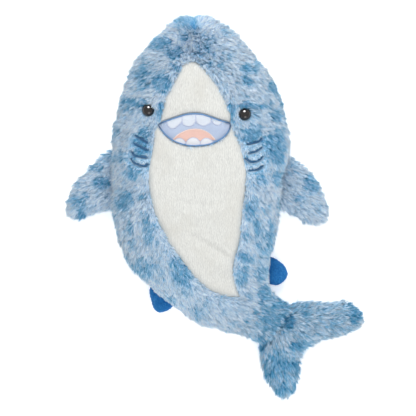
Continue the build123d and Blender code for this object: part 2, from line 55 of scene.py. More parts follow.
STATIONS = [
    ((-38.0, 240.5), (-12.0, 240.5), 13.0, 36.0),
    ((-60.0, 223.0), (15.5, 222.5), 5.0, 56.0),
    ((-82.0, 200.5), (42.5, 200.0), 0.0, 71.0),
    ((-100.5, 177.5), (61.0, 176.0), -2.0, 82.0),
    ((-114.5, 147.5), (79.5, 147.5), -3.0, 90.0),
    ((-126.0, 96.0), (94.5, 96.0), -3.0, 95.0),
    ((-128.0, 68.0), (94.0, 68.0), -3.0, 96.0),
    ((-127.5, 40.0), (87.5, 40.0), -3.0, 95.0),
    ((-127.0, 9.0), (83.0, 9.0), -3.0, 94.0),
    ((-125.0, -20.0), (82.0, -13.0), -3.0, 91.0),
    ((-111.5, -63.0), (77.5, -43.0), -3.0, 83.0),
    ((-93.0, -91.0), (73.5, -58.0), -3.0, 76.0),
    ((-65.0, -118.0), (71.5, -74.0), -3.0, 67.0),
    ((-28.0, -141.0), (71.5, -88.0), -3.0, 57.0),
    ((8.0, -154.0), (74.5, -100.0), -3.0, 48.0),
    ((36.0, -162.0), (81.5, -110.0), -2.5, 39.0),
    ((56.0, -172.0), (94.0, -121.0), -2.0, 31.0),
]
SNOUT = [(-26.5, 182.5), (-37.0, 178.0), (-42.0, 171.0), (-45.5, 164.0),
         (-49.5, 156.0), (-53.0, 149.0), (-57.5, 141.0), (-61.0, 134.0),
         (-63.0, 126.0), (-64.5, 119.0), (-66.0, 111.0), (-67.5, 102.75),
         (-62.0, 105.25), (-52.0, 108.5), (-42.0, 112.0), (-33.0, 114.5),
         (-23.0, 115.25), (-14.5, 114.5), (-4.5, 111.5), (5.5, 107.75),
         (14.5, 105.25), (20.75, 103.5), (22.0, 111.0), (20.5, 119.0),
         (18.0, 126.0), (15.0, 134.0), (11.0, 141.0), (7.0, 149.0),
         (1.0, 156.0), (-4.5, 164.0), (-10.5, 171.0), (-18.0, 178.0)]
MOUTH_TOP = [(-67.5, 102.75), (-62.0, 105.25), (-52.0, 108.5),
             (-42.0, 112.0), (-33.0, 114.5), (-23.0, 115.25),
             (-14.5, 114.5), (-4.5, 111.5), (5.5, 107.75), (14.5, 105.25),
             (20.75, 103.5)]
MOUTH_LOW = [(20.75, 100.0), (18.75, 94.5), (14.5, 88.5), (7.0, 82.75),
             (-3.0, 78.5), (-13.0, 76.5), (-23.0, 76.0), (-32.0, 76.5),
             (-40.5, 78.5), (-49.5, 82.25), (-57.0, 87.5), (-63.0, 93.75),
             (-67.5, 100.0)]
BELLY = [(-67.5, 100.0), (-69.5, 101.0), (-74.0, 94.0), (-74.5, 81.0),
         (-77.0, 65.0), (-79.5, 52.5), (-81.0, 40.0), (-80.5, 25.0),
         (-78.0, 10.0), (-75.0, -2.5), (-70.5, -16.0), (-64.5, -27.5),
         (-56.0, -45.0), (-50.0, -54.0), (-43.0, -62.5), (-33.0, -77.0),
         (-22.0, -90.5), (-8.5, -102.0), (7.0, -109.5), (19.5, -113.0),
         (34.0, -113.0), (31.0, -104.5), (28.0, -95.0), (25.5, -85.0),
         (25.0, -74.0), (27.5, -62.5), (31.0, -51.0), (34.0, -35.0),
         (35.5, -19.0), (37.5, 1.0), (40.0, 19.0), (41.0, 34.0),
         (40.5, 47.5), (37.0, 62.5), (33.0, 79.5), (28.0, 90.5),
         (23.0, 101.0), (20.75, 100.0)]
TONGUE = [(-48.0, 84.0), (-42.0, 89.5), (-33.0, 94.25), (-24.5, 95.75),
          (-15.5, 95.0), (-7.0, 91.25), (-1.5, 85.0), (-7.5, 87.5),
          (-12.0, 85.5), (-15.5, 82.8), (-19.5, 86.2), (-24.5, 88.0),
          (-29.5, 86.2), (-33.0, 83.0), (-37.0, 85.0), (-42.0, 87.0),
          (-45.5, 86.0)]
LOW_TEETH = [[(-46.5, 83.0), (-44.5, 84.2), (-42.0, 84.5), (-38.0, 82.8),
              (-34.5, 81.0), (-38.0, 80.9), (-43.0, 82.2)],
             [(-31.5, 81.0), (-29.5, 83.5), (-24.5, 85.3), (-19.5, 83.5),
              (-17.3, 81.0), (-24.5, 79.0)],
             [(-14.0, 81.0), (-12.0, 82.8), (-7.5, 84.8), (-4.5, 84.0),
              (-3.0, 82.5), (-8.0, 80.2)]]
UP_TEETH = [[(-57.5, 103.8), (-55.5, 100.6), (-52.0, 97.2), (-47.5, 97.9),
             (-43.8, 101.5), (-40.0, 105.5), (-40.3, 108.9),
             (-48.0, 106.5)],
            [(-38.6, 109.0), (-37.8, 104.8), (-36.0, 101.6),
             (-30.75, 99.7), (-25.9, 101.6), (-22.9, 107.0),
             (-23.5, 112.0), (-31.0, 111.5)],
            [(-21.2, 112.0), (-20.9, 107.0), (-18.4, 102.9),
             (-13.0, 100.2), (-7.9, 102.1), (-4.2, 105.2),
             (-4.6, 108.2), (-13.0, 111.0)],
            [(-2.2, 107.4), (-1.8, 105.4), (0.8, 103.2), (5.75, 100.7),
             (10.8, 101.7), (11.0, 103.4), (4.5, 105.2)]]
EYES = {"left": (-80.75, 120.25), "right": (38.5, 115.0)}
GILLS = {
    "left": [[(-97.0, 89.0), (-81.5, 80.0)], [(-98.0, 79.0), (-81.5, 71.0)],
             [(-101.0, 68.5), (-97.0, 63.8), (-82.5, 61.5)],
             [(-102.5, 60.5), (-97.0, 54.5), (-86.0, 51.0), (-82.0, 53.5)]],
    "right": [[(41.5, 78.0), (54.0, 81.0), (59.5, 85.5)],
              [(43.5, 67.0), (52.0, 69.3), (59.5, 74.0)],
              [(39.5, 60.5), (47.0, 56.0), (57.0, 59.0), (61.0, 63.5)],
              [(44.5, 45.5), (54.5, 47.0), (61.0, 51.5)]],
}
FLIPPER_L = [(-133.0, 70.5), (-140.5, 66.0), (-147.0, 59.0),
             (-162.0, 44.0), (-172.0, 36.0), (-180.5, 21.0),
             (-186.0, 6.0), (-187.5, -1.0), (-184.5, -8.0),
             (-179.5, -14.0), (-170.5, -17.0), (-162.0, -15.5),
             (-152.0, -12.0), (-142.0, -8.0), (-133.0, -6.0)]
FLIPPER_R = [(96.6, 65.0), (104.5, 59.5), (114.5, 52.0), (123.0, 45.0),
                 (134.5, 29.0), (141.0, 14.0), (144.5, -1.0),
                 (144.5, -11.0), (141.0, -17.5), (134.5, -22.5),
                 (125.5, -23.0), (114.5, -21.0), (104.5, -16.0),
                 (95.5, -11.0), (85.6, -5.0)]
TAIL_FIN = [(95.0, -119.5), (108.0, -119.0), (127.0, -118.5),
            (152.0, -118.5), (170.5, -120.0), (180.0, -125.0),
            (186.0, -132.5), (187.5, -139.0), (184.5, -149.0),
            (177.0, -154.5), (164.5, -160.0), (148.0, -165.0),
            (133.0, -170.0), (122.0, -175.0), (114.5, -181.5),
            (110.5, -190.0), (109.5, -197.5), (107.5, -210.0),
            (105.5, -221.0), (100.5, -231.0), (95.5, -237.5),
            (89.5, -240.5), (82.0, -239.0), (74.5, -230.0),
            (67.0, -219.0), (62.5, -209.0), (59.5, -196.0),
            (57.5, -186.0), (55.3, -172.5)]
PELVIC_L = [(-79.5, -101.7), (-81.5, -105.0), (-80.5, -111.0),
            (-78.0, -119.5), (-75.5, -127.5), (-71.0, -132.5),
            (-66.0, -133.5), (-57.0, -130.5), (-51.5, -127.0),
            (-50.5, -123.7)]
PELVIC_R = [(77.5, -64.5), (80.5, -67.0), (86.0, -71.0), (90.0, -75.0),
                (92.5, -80.0), (93.5, -84.0), (92.5, -88.5), (88.0, -94.0),
                (84.0, -97.0), (80.0, -99.0), (76.5, -98.0)]
DORSAL = [(-22.0, 62.0), (-8.0, 50.0), (8.0, 32.0), (19.0, 12.0),
          (25.0, -6.0), (24.0, -14.0), (17.0, -17.0), (3.0, -13.0),
          (-10.0, -10.0), (-22.0, -10.0)]
# Dye patches of the fur: x, y, half width, half height, tilt, strength.
DYE = [
    (-34, 228, 12.5, 7.5, -30, 0.8), (-63, 204, 15, 8.8, -20, 0.9), (-48, 190, 11.2, 6.2, 10, 1.15),
    (-36, 211, 5, 8.8, 0, 0.8), (-81, 185, 3.8, 3.8, 0, 0.6), (-82, 165, 7.5, 16.2, -5, 0.85),
    (-64, 159, 10, 11.2, -20, 0.8), (-46, 176, 6.2, 3.8, -50, 0.6), (-97, 169, 5, 7.5, -30, 0.5),
    (-94, 132, 15, 5, -10, 0.85), (-82, 132, 7.5, 3.8, 0, 1.3), (-104, 125, 7.5, 5, 0, 0.6),
    (-66, 121, 3.8, 12.5, -10, 0.8), (-24, 231, 3.8, 10, 0, 0.6), (13, 219, 8.8, 5, 30, 0.5),
    (-12, 199, 11.2, 11.2, 0, 0.55), (7, 199, 7.5, 3.1, 0, 0.6), (16, 189, 3.8, 3.8, 0, 0.7),
    (7, 176, 3.8, 7.5, 25, 0.6), (-7, 179, 5, 7.5, 30, 0.75), (37, 171, 8.8, 6.2, -40, 0.9),
    (49, 181, 6.2, 6.2, 0, 0.7), (38, 159, 6.2, 5, 0, 0.9), (39, 140, 3.1, 1.9, 0, 0.8),
    (69, 150, 6.2, 7.5, 20, 0.85), (78, 135, 3.8, 10, 20, 0.6), (38, 128, 7.5, 3.8, 0, 1.3),
    (54, 128, 11.2, 3.8, 5, 1), (74, 116, 10, 7.5, -10, 0.9), (23, 119, 3.8, 11.2, 10, 0.85),
    (51, 116, 5, 5, 0, 0.5), (-121, 98, 6.2, 11.2, 0, 0.7), (-86, 92, 6.2, 10, 0, 0.85),
    (-89, 74, 10, 12.5, 0, 1), (-97, 45, 7.5, 7.5, 0, 0.75), (-117, 65, 15, 6.2, -10, 0.6),
    (-134, 65, 11.2, 5, -20, 0.55), (-137, 34, 11.2, 7.5, 0, 0.85), (-108, 12, 10, 12.5, 10, 0.85),
    (-101, -15, 3.8, 12.5, 0, 0.7), (-83, -16, 5, 12.5, 0, 0.6), (-87, 15, 3.8, 3.8, 0, 0.5),
    (-123, -9, 3.8, 16.2, 3, 0.7), (44, 92, 12.5, 10, 0, 0.95), (74, 75, 11.2, 20, 0, 0.95),
    (76, 42, 6.2, 10, 0, 0.8), (56, 38, 7.5, 7.5, 0, 0.6), (47, 4, 5, 15, -15, 0.75),
    (61, 2, 5, 3.8, 0, 0.5), (52, -21, 3.8, 11.2, 0, 0.9), (68, -32, 6.2, 18.8, 5, 0.75),
    (78, 4, 3.8, 10, 0, 0.6), (-78, -31, 6.2, 16.2, 10, 0.7), (-99, -42, 5, 7.5, 0, 0.6),
    (-121, -24, 5, 8.8, 10, 0.6), (-116, -45, 3.8, 7.5, 20, 0.5), (-107, -59, 5, 5, 30, 0.7),
    (-89, -74, 13.8, 13.8, 20, 0.7), (-66, -74, 5, 11.2, 5, 0.45), (-44, -81, 8.8, 25, 22, 0.8),
    (-53, -112, 7.5, 5, 0, 0.6), (-21, -125, 5, 11.2, 0, 0.6), (39, -30, 3.8, 6.2, 0, 0.6),
    (51, -45, 2.5, 5, 15, 0.7), (47, -56, 2.5, 3.8, 0, 0.6), (37, -61, 6.2, 7.5, 0, 0.85),
    (33, -82, 5, 13.8, 0, 0.75), (56, -76, 10, 12.5, 0, 0.65), (58, -106, 11.2, 10, 0, 0.85),
    (41, -109, 3.8, 5, 0, 0.6), (54, -116, 3.8, 3.8, 0, 1.4), (73, -121, 10, 5, 10, 1),
    (48, -130, 3.1, 6.2, 20, 0.8), (36, -140, 3.8, 3.8, 0, 0.6), (7, -129, 3.8, 3.8, 0, 0.5),
    (-13, -118, 5, 6.2, 0, 0.6), (64, -142, 11.2, 7.5, 0, 0.85), (88, -142, 7.5, 10, 30, 1.25),
    (57, -158, 5, 5, 0, 0.9), (46, -162, 10, 3.8, -10, 0.6), (107, -130, 15, 7.5, -5, 0.6),
    (173, -130, 12.5, 11.2, 20, 1), (149, -146, 6.2, 5, 0, 0.6), (99, -171, 7.5, 6.2, 0, 1.05),
    (116, -170, 8.8, 5, -15, 0.7), (62, -170, 6.2, 7.5, 0, 0.95), (79, -190, 6.2, 12.5, -10, 0.85),
    (97, -194, 11.2, 10, 0, 0.9), (72, -205, 7.5, 7.5, 0, 0.95), (86, -224, 8.8, 7.5, 0, 0.9),
    (101, -220, 5, 5, 0, 0.95), (133, -136, 10, 5, 0, 0.35), (-144, 51, 7.5, 3.8, -10, 0.7),
    (-168, 32, 6.2, 3.8, -20, 0.5), (-157, 18, 3.8, 5, 0, 0.85), (-166, 9, 11.2, 6.2, -20, 0.75),
    (-163, -5, 3.8, 6.2, -15, 0.95), (-157, -11, 5, 3.8, 0, 0.5), (118, 29, 7.5, 12.5, -15, 0.85),
    (106, 14, 7.5, 5, 30, 0.6), (93, 55, 5, 5, 0, 0.4), (99, 46, 5, 3.8, 0, 0.4),
    (98, -8, 3.8, 3.8, 0, 0.5), (109, -15, 6.2, 3.8, 30, 0.5), (128, 2, 5, 6.2, 0, 0.35),
]
LIFT = np.array([75.15, -146.0])
LIFT_DIR = np.array([0.800, -0.600])


# ------------------------------------------------------------------ numbers
def unit(v):
    return v / np.maximum(np.linalg.norm(v, axis=-1, keepdims=True), 1e-9)


def ramp(a, b, x):
    t = np.clip((x - a) / (b - a), 0.0, 1.0)
    return t * t * (3 - 2 * t)


def waves(p, scale, seed, n=8):
    r = np.random.default_rng(seed)
    out = np.zeros(len(p))
    for _ in range(n):
        d = r.normal(size=p.shape[1])
        d /= np.linalg.norm(d)
        f = 2 * math.pi / scale * r.uniform(0.6, 1.7)
        out += np.sin(p @ d * f + r.uniform(0, 2 * math.pi))
    return out / math.sqrt(n / 2) / 1.4


def line_distance(p, line, closed=False):
    line = np.asarray(line, float)
    a = line
    b = np.roll(line, -1, axis=0)
    if not closed:
        a, b = line[:-1], line[1:]
    best = np.full(len(p), 1e9)
    for q, r in zip(a, b):
        d = r - q
        t = np.clip(((p - q) @ d) / max(d @ d, 1e-9), 0, 1)
        e = p - q - t[:, None] * d
        best = np.minimum(best, np.hypot(e[:, 0], e[:, 1]))
    return best


def inside(p, loop):
    loop = np.asarray(loop, float)
    hit = np.zeros(len(p), bool)
    n = len(loop)
    for i in range(n):
        (x1, y1), (x2, y2) = loop[i - 1], loop[i]
        if y1 == y2:
            continue
        cross = (y1 > p[:, 1]) != (y2 > p[:, 1])
        xi = x1 + (p[:, 1] - y1) / (y2 - y1) * (x2 - x1)
        hit ^= cross & (p[:, 0] < xi)
    return hit


def signed(p, loop):
    """Distance to the loop, positive inside."""
    d = line_distance(p, loop, True)
    return np.where(inside(p, loop), d, -d)


def smooth_line(points, step, closed=False, corner=42.0):
    """The same line rounded through its points, except at real corners."""
    pts = [np.array(p, float) for p in points]
    n = len(pts)
    sharp = []
    for i in range(n):
        if not closed and i in (0, n - 1):
            sharp.append(True)
            continue
        a, b, c = pts[i - 1], pts[i], pts[(i + 1) % n]
        u, v = unit(b - a), unit(c - b)
        sharp.append(math.degrees(math.acos(max(-1, min(1, float(u @ v)))))
                     > corner)
    out = []
    for i in range(n if closed else n - 1):
        p1, p2 = pts[i], pts[(i + 1) % n]
        p0 = pts[i - 1] if not sharp[i] else 2 * p1 - p2
        p3 = pts[(i + 2) % n] if not sharp[(i + 1) % n] else 2 * p2 - p1
        m = max(1, int(round(np.linalg.norm(p2 - p1) / step)))
        for k in range(m):
            t = k / m
            out.append(0.5 * ((2 * p1) + (p2 - p0) * t
                              + (2 * p0 - 5 * p1 + 4 * p2 - p3) * t * t
                              + (3 * p1 - p0 - 3 * p2 + p3) * t ** 3))
    if not closed:
        out.append(pts[-1])
    return np.array(out)


def kd(points):
    tree = KDTree(len(points))
    for i, p in enumerate(points):
        tree.insert(p, i)
    tree.balance()
    return tree


# ------------------------------------------------------------------- meshes
def build(name, verts, faces=None, tris=None, quads=None, smooth=True):
    """A mesh object from points in millimetres."""
    idx, starts, at = [], [], 0
    for block in (tris, quads):
        if block is not None and len(block):
            block = np.asarray(block, np.int32)
            k = block.shape[1]
            idx.append(block.ravel())
            starts.append(at + np.arange(len(block)) * k)
            at += block.size
    mesh = bpy.data.meshes.new(name)
    idx = np.concatenate(idx).astype(np.int32)
    starts = np.concatenate(starts).astype(np.int32)
    mesh.vertices.add(len(verts))
    mesh.vertices.foreach_set(
        "co", (np.asarray(verts, float) * MM).astype(np.float32).ravel())
    mesh.loops.add(len(idx))
    mesh.loops.foreach_set("vertex_index", idx)
    mesh.polygons.add(len(starts))
    mesh.polygons.foreach_set("loop_start", starts)
    mesh.update(calc_edges=True)
    mesh.validate()
    if smooth:
        mesh.shade_smooth()
    obj = bpy.data.objects.new(name, mesh)
    bpy.context.scene.collection.objects.link(obj)
    return obj


def attribute(obj, name, values):
    a = obj.data.attributes.new(name, "FLOAT", "POINT")
    a.data.foreach_set("value", np.asarray(values, np.float32))


def vertex_normals(v, tris):
    n = np.cross(v[tris[:, 1]] - v[tris[:, 0]], v[tris[:, 2]] - v[tris[:, 0]])
    out = np.zeros_like(v)
    for k in range(3):
        np.add.at(out, tris[:, k], n)
    return unit(out)


def thicken(v, tris, depth):
    """A closed shell: the sheet, a copy of it depth below, and its rim."""
    n = vertex_normals(v, tris)
    m = len(v)
    low = v - n * np.reshape(depth, (-1, 1))
    edges = {}
    for a, b, c in tris:
        for e in ((a, b), (b, c), (c, a)):
            edges[e] = True
    rim = [(a, b) for a, b in edges if (b, a) not in edges]
    quads = [(b, a, a + m, b + m) for a, b in rim]
    both = np.vstack([tris, tris[:, ::-1] + m])
    return np.vstack([v, low]), both, np.array(quads, int).reshape(-1, 4)


def region(outline, step, margin=0.62):
    """Triangles that fill a flat outline, nearly even in size."""
    loop = np.asarray(outline, float)
    lo, hi = loop.min(0), loop.max(0)
    xs = np.arange(lo[0], hi[0] + step, step)
    ys = np.arange(lo[1], hi[1] + step, step * 0.866)
    gx, gy = np.meshgrid(xs, ys)
    gx = gx + (np.arange(len(ys)) % 2)[:, None] * step / 2
    p = np.column_stack([gx.ravel(), gy.ravel()])
    p = p[signed(p, loop) > step * margin]
    pts = np.vstack([loop, p])
    n = len(loop)
    got = geometry.delaunay_2d_cdt(
        [Vector((float(x), float(y))) for x, y in pts],
        [(i, (i + 1) % n) for i in range(n)], [], 0, 1e-6)
    v = np.array([tuple(q) for q in got[0]], float)
    t = np.array([f for f in got[2] if len(f) == 3], int)
    mid = v[t].mean(1)
    t = t[inside(mid, loop)]
    a, b, c = v[t[:, 0]], v[t[:, 1]], v[t[:, 2]]
    area = ((b[:, 0] - a[:, 0]) * (c[:, 1] - a[:, 1])
            - (b[:, 1] - a[:, 1]) * (c[:, 0] - a[:, 0]))
    t = np.where((area < 0)[:, None], t[:, ::-1], t)
    t = t[np.abs(area) > 1e-7]
    used = np.unique(t)
    back = np.full(len(v), -1)
    back[used] = np.arange(len(used))
    return v[used], back[t]


def tube(points, radius, around=10, closed=False):
    """A round thread along points, its radius given once or per point."""
    p = np.asarray(points, float)
    n = len(p)
    r = np.broadcast_to(np.asarray(radius, float), (n,))
    if closed:
        d = unit(np.roll(p, -1, 0) - np.roll(p, 1, 0))
    else:
        d = unit(np.gradient(p, axis=0))
    up = np.tile([0.0, 0.0, 1.0], (n, 1))
    side = unit(np.cross(d, up))
    up = unit(np.cross(side, d))
    ang = np.arange(around) * 2 * math.pi / around
    v = (p[:, None] + r[:, None, None]
         * (side[:, None] * np.cos(ang)[None, :, None]
            + up[:, None] * np.sin(ang)[None, :, None])).reshape(-1, 3)
    quads = []
    for i in range(n if closed else n - 1):
        j = (i + 1) % n
        for k in range(around):
            q = (k + 1) % around
            quads.append((i * around + k, i * around + q,
                          j * around + q, j * around + k))
    tris = []
    if not closed:
        v = np.vstack([v, p[:1], p[-1:]])
        a, b = n * around, n * around + 1
        for k in range(around):
            q = (k + 1) % around
            tris.append((a, q, k))
            tris.append((b, (n - 1) * around + k, (n - 1) * around + q))
    return v, np.array(tris, int).reshape(-1, 3), np.array(quads, int)


# --------------------------------------------------------------- torso form
S = np.array([[l[0], l[1], r[0], r[1], lo, hi]
              for l, r, lo, hi in STATIONS])


def station(t):
    i = np.clip(np.floor(t).astype(int), 0, len(S) - 2)
    u = (t - i)[:, None]
    p1, p2 = S[i], S[i + 1]
    p0 = np.where((i == 0)[:, None], 2 * p1 - p2, S[np.maximum(i - 1, 0)])
    p3 = np.where((i == len(S) - 2)[:, None], 2 * p2 - p1,
                  S[np.minimum(i + 2, len(S) - 1)])
    return 0.5 * ((2 * p1) + (p2 - p0) * u
                  + (2 * p0 - 5 * p1 + 4 * p2 - p3) * u * u
                  + (3 * p1 - p0 - 3 * p2 + p3) * u ** 3)


def section(t, a, ins=INSET, low_ins=INSET_LOW):
    s = station(t)
    w = s[:, 2:4] - s[:, :2]
    full = np.linalg.norm(w, axis=1)
    u = w / full[:, None]
    c = (s[:, :2] + s[:, 2:4]) / 2
    side = np.where(np.cos(a) < 0, np.interp(
        t, [0, 1, 4, 6, 8, 9, 11, 13, 16],
        [2.2, 2.2, 1.6, 0.6, 0.4, 1.2, 2.0, 0.8, 0.6]), 0.4)
    half = full / 2 - ins - side
    mid = SEAM_Z * 0.35 + (s[:, 4] + s[:, 5]) / 2 * 0.65
    up = s[:, 5] - ins - mid
    down = mid - (s[:, 4] + low_ins)
    ca, sa = np.cos(a), np.sin(a)
    e = np.where(sa >= 0, 2 / 2.35, 2 / 2.7)
    x = half * np.sign(ca) * np.abs(ca) ** e
    z = mid + np.where(sa >= 0, up, down) * np.sign(sa) * np.abs(sa) ** e
    return np.column_stack([c + u * x[:, None], z]), c, mid


ts, caps = [0.55], []
while ts[-1] < 16 - 1e-6:
    i = min(int(ts[-1]), 15)
    a, b = S[i], S[i + 1]
    gap = np.linalg.norm((a[:2] + a[2:4] - b[:2] - b[2:4]) / 2)
    nxt = ts[-1] + 2.5 / max(gap, 6.0)
    edge = math.floor(ts[-1]) + 1
    ts.append(float(edge) if nxt > edge - 0.4 * 2.5 / max(gap, 6.0) else nxt)
NA = 168
angles = np.arange(NA) * 2 * math.pi / NA
rows, row_t = [], []
for k in range(6):
    f = k / 6 * math.pi / 2
    t0 = np.full(NA, ts[0])
    p, c, mid = section(t0, angles)
    centre = np.column_stack([c, mid])
    q = centre + (p - centre) * math.sin(max(f, 0.04))
    q[:, 1] += 2.5 * math.cos(f)
    rows.append(q)
    row_t.append(ts[0])
for t in ts:
    rows.append(section(np.full(NA, t), angles)[0])
    row_t.append(t)
for k in range(1, 6):
    f = k / 5 * math.pi / 2
    p, c, mid = section(np.full(NA, 16.0), angles)
    centre = np.column_stack([c, mid])
    q = centre + (p - centre) * math.cos(min(f, 1.5))
    q[:, :2] += LIFT_DIR * 9.0 * math.sin(f)
    rows.append(q)
    row_t.append(16.0 + 0.1 * k)
NT = len(rows)
P = np.array(rows)
row_t = np.array(row_t)


def grid_normals(p):
    dt = np.gradient(p, axis=0)
    da = np.roll(p, -1, 1) - np.roll(p, 1, 1)
    return unit(np.cross(da, dt))


N = grid_normals(P)
if (N[NT // 2, NA // 4] @ np.array([0, 0, 1.0])) < 0:
    N = -N
SNOUT_S = smooth_line(SNOUT, 2.0, True)
BELLY = BELLY + MOUTH_LOW[1:-1]
BELLY_S = smooth_line(BELLY, 2.0, True)
MOUTH = MOUTH_TOP + MOUTH_LOW
MOUTH_S = smooth_line(MOUTH, 1.2, True)
GILL_S = {s: [smooth_line(g, 1.2, corner=75) for g in GILLS[s]]
          for s in GILLS}
ALL_GILLS = GILL_S["left"] + GILL_S["right"]


def relief(p, n):
    """How far the cloth is pushed out along its normal, millimetres."""
    top = ramp(0.0, 0.45, n[:, 2])
    xy = p[:, :2]
    mid = 1 - 0.75 * top * ramp(-6.0, 4.0, signed(xy, BELLY_S))
    d = (1.2 * waves(p, 62.0, 3) + 0.5 * waves(p, 26.0, 4)) * mid
    ds = line_distance(xy, SNOUT_S, True)
    db = line_distance(xy, BELLY_S, True)
    d -= top * 2.4 * np.exp(-(ds / 4.2) ** 2)
    d -= top * 2.4 * np.exp(-(db / 4.2) ** 2)
    g = np.full(len(p), 1e9)
    for line in ALL_GILLS:
        g = np.minimum(g, line_distance(xy, line))
    d += top * (2.6 * np.exp(-(g / 9.0) ** 2) - 5.4 * np.exp(-(g / 2.5) ** 2))
    for ex, ey in EYES.values():
        r = np.hypot(p[:, 0] - ex, p[:, 1] - ey)
        d += top * (0.8 * np.exp(-(r / 16.0) ** 2)
                    - 2.2 * np.exp(-(r / 8.0) ** 2))
        d += top * 1.6 * np.exp(-((p[:, 0] - ex) / 14.0) ** 2
                                - ((p[:, 1] - ey - 15.0) / 5.5) ** 2)
    crown = line_distance(xy, [(-25.0, 250.0), (-26.5, 184.0)])
    d -= 1.3 * np.exp(-(crown / 4.5) ** 2)
    # wrinkles that cross the belly low down
    d += top * 2.0 * np.exp(-((p[:, 0] - 14.0) / 15.0) ** 2
                            - ((p[:, 1] + 72.0) / 12.0) ** 2)
    for (cx, cy, w, tilt) in [(0.0, -52.0, 22.0, -29.0),
                              (16.0, -62.0, 13.0, -40.0),
                              (-12.0, -34.0, 12.0, -8.0),
                              (6.0, -18.0, 14.0, 80.0)]:
        a = math.radians(tilt)
        u = (p[:, 0] - cx) * math.cos(a) + (p[:, 1] - cy) * math.sin(a)
        v = -(p[:, 0] - cx) * math.sin(a) + (p[:, 1] - cy) * math.cos(a)
        d -= top * 1.5 * np.exp(-(u / w) ** 2 - (v / 4.5) ** 2)
        d += top * 0.7 * np.exp(-(u / w) ** 2 - ((v - 6.0) / 4.0) ** 2)
    return d


flat_p, flat_n = P.reshape(-1, 3), N.reshape(-1, 3)
fade = np.repeat(np.clip((16.4 - row_t) / 0.5, 0, 1)
                 * np.clip((np.arange(NT)) / 6.0, 0.15, 1), NA)
P = (flat_p + flat_n * (relief(flat_p, flat_n) * fade)[:, None]
     ).reshape(NT, NA, 3)
# The toy rests on its back: flat below, with a pocket for the folded fin.
floor_z = np.full(P.shape[:2], 3.0)
dd = signed(P[..., :2].reshape(-1, 2), DORSAL).reshape(P.shape[:2])
floor_z += 6.8 * ramp(-12.0, -1.0, dd)
lower = P[..., 2] < floor_z
P[..., 2] = np.where(P[..., 2] < floor_z + 2.0,
                     floor_z + 2.0 * np.exp(
                         np.minimum(P[..., 2] - floor_z - 2.0, 0) / 2.0),
                     P[..., 2])
N = grid_normals(P)
if (N[NT // 2, NA // 4] @ np.array([0, 0, 1.0])) < 0:
    N = -N
BV = P.reshape(-1, 3)
BN = N.reshape(-1, 3)
BT = np.repeat(row_t, NA)
BA = np.tile(angles, NT)
ii, jj = np.meshgrid(np.arange(NT - 1), np.arange(NA), indexing="ij")
ii, jj = ii.ravel(), jj.ravel()
kk = (jj + 1) % NA
QUADS = np.column_stack([ii * NA + jj, ii * NA + kk,
                         (ii + 1) * NA + kk, (ii + 1) * NA + jj])
sample = QUADS[len(QUADS) // 2]
fn = np.cross(BV[sample[1]] - BV[sample[0]], BV[sample[2]] - BV[sample[0]])
if fn @ BN[sample[0]] < 0:
    QUADS = QUADS[:, ::-1]
TRIS = np.vstack([QUADS[:, [0, 1, 2]], QUADS[:, [0, 2, 3]]])
TRI_ROW = np.concatenate([ii, ii])
TRI_COL = np.concatenate([jj, jj])
tree_body = BVHTree.FromPolygons([tuple(v) for v in BV],
                                 [tuple(int(i) for i in t) for t in TRIS])


def on_skin(xy):
    """Height and normal of the torso cloth under each point, from above."""
    z, n = np.zeros(len(xy)), np.zeros((len(xy), 3))
    for i, (x, y) in enumerate(xy):
        hit = tree_body.ray_cast(Vector((x, y, 300.0)), Vector((0, 0, -1)))
        if hit[0] is None:
            near = tree_body.find_nearest(Vector((x, y, 40.0)))
            hit = near
        z[i], n[i] = hit[0].z, hit[1]
    n = np.where((n[:, 2] < 0)[:, None], -n, n)
    return z, n


def rearness(xy):
    """From 0 over the body to 1 over the tail, where the fur is darker."""
    return ramp(20.0, 80.0, xy @ np.array([0.630, -0.776]) - 85.0)


def dye_at(p, seed=21):
    """Strength of the blue dye at a point seen from above."""
    xy = p[:, :2]
    wob = 0.30 * waves(p, 15.0, seed) + 0.16 * waves(p, 6.0, seed + 1)
    out = 0.11 + 0.17 * ramp(-0.6, 1.6, waves(p, 20.0, seed + 2))
    out = out + 0.26 * rearness(xy)
    more = [(62, -40, 12, 28, 0, 0.55), (72, -135, 17, 20, 0, 0.78),
            (82, -200, 13, 26, 0, 0.70)]
    for x, y, rx, ry, tilt, s in DYE + more:
        a = math.radians(tilt)
        u = (xy[:, 0] - x) * math.cos(a) + (xy[:, 1] - y) * math.sin(a)
        v = -(xy[:, 0] - x) * math.sin(a) + (xy[:, 1] - y) * math.cos(a)
        q = np.sqrt((u / rx) ** 2 + (v / ry) ** 2) + wob
        out = np.maximum(out, s * 1.13 * (1 - ramp(0.55, 1.62, q)))
    return out


# ---------------------------------------------------------------- materials
def lin(r, g, b):
    def f(c):
        c /= 255.0
        return c / 12.92 if c <= 0.04045 else ((c + 0.055) / 1.055) ** 2.4
    return (f(r), f(g), f(b), 1.0)


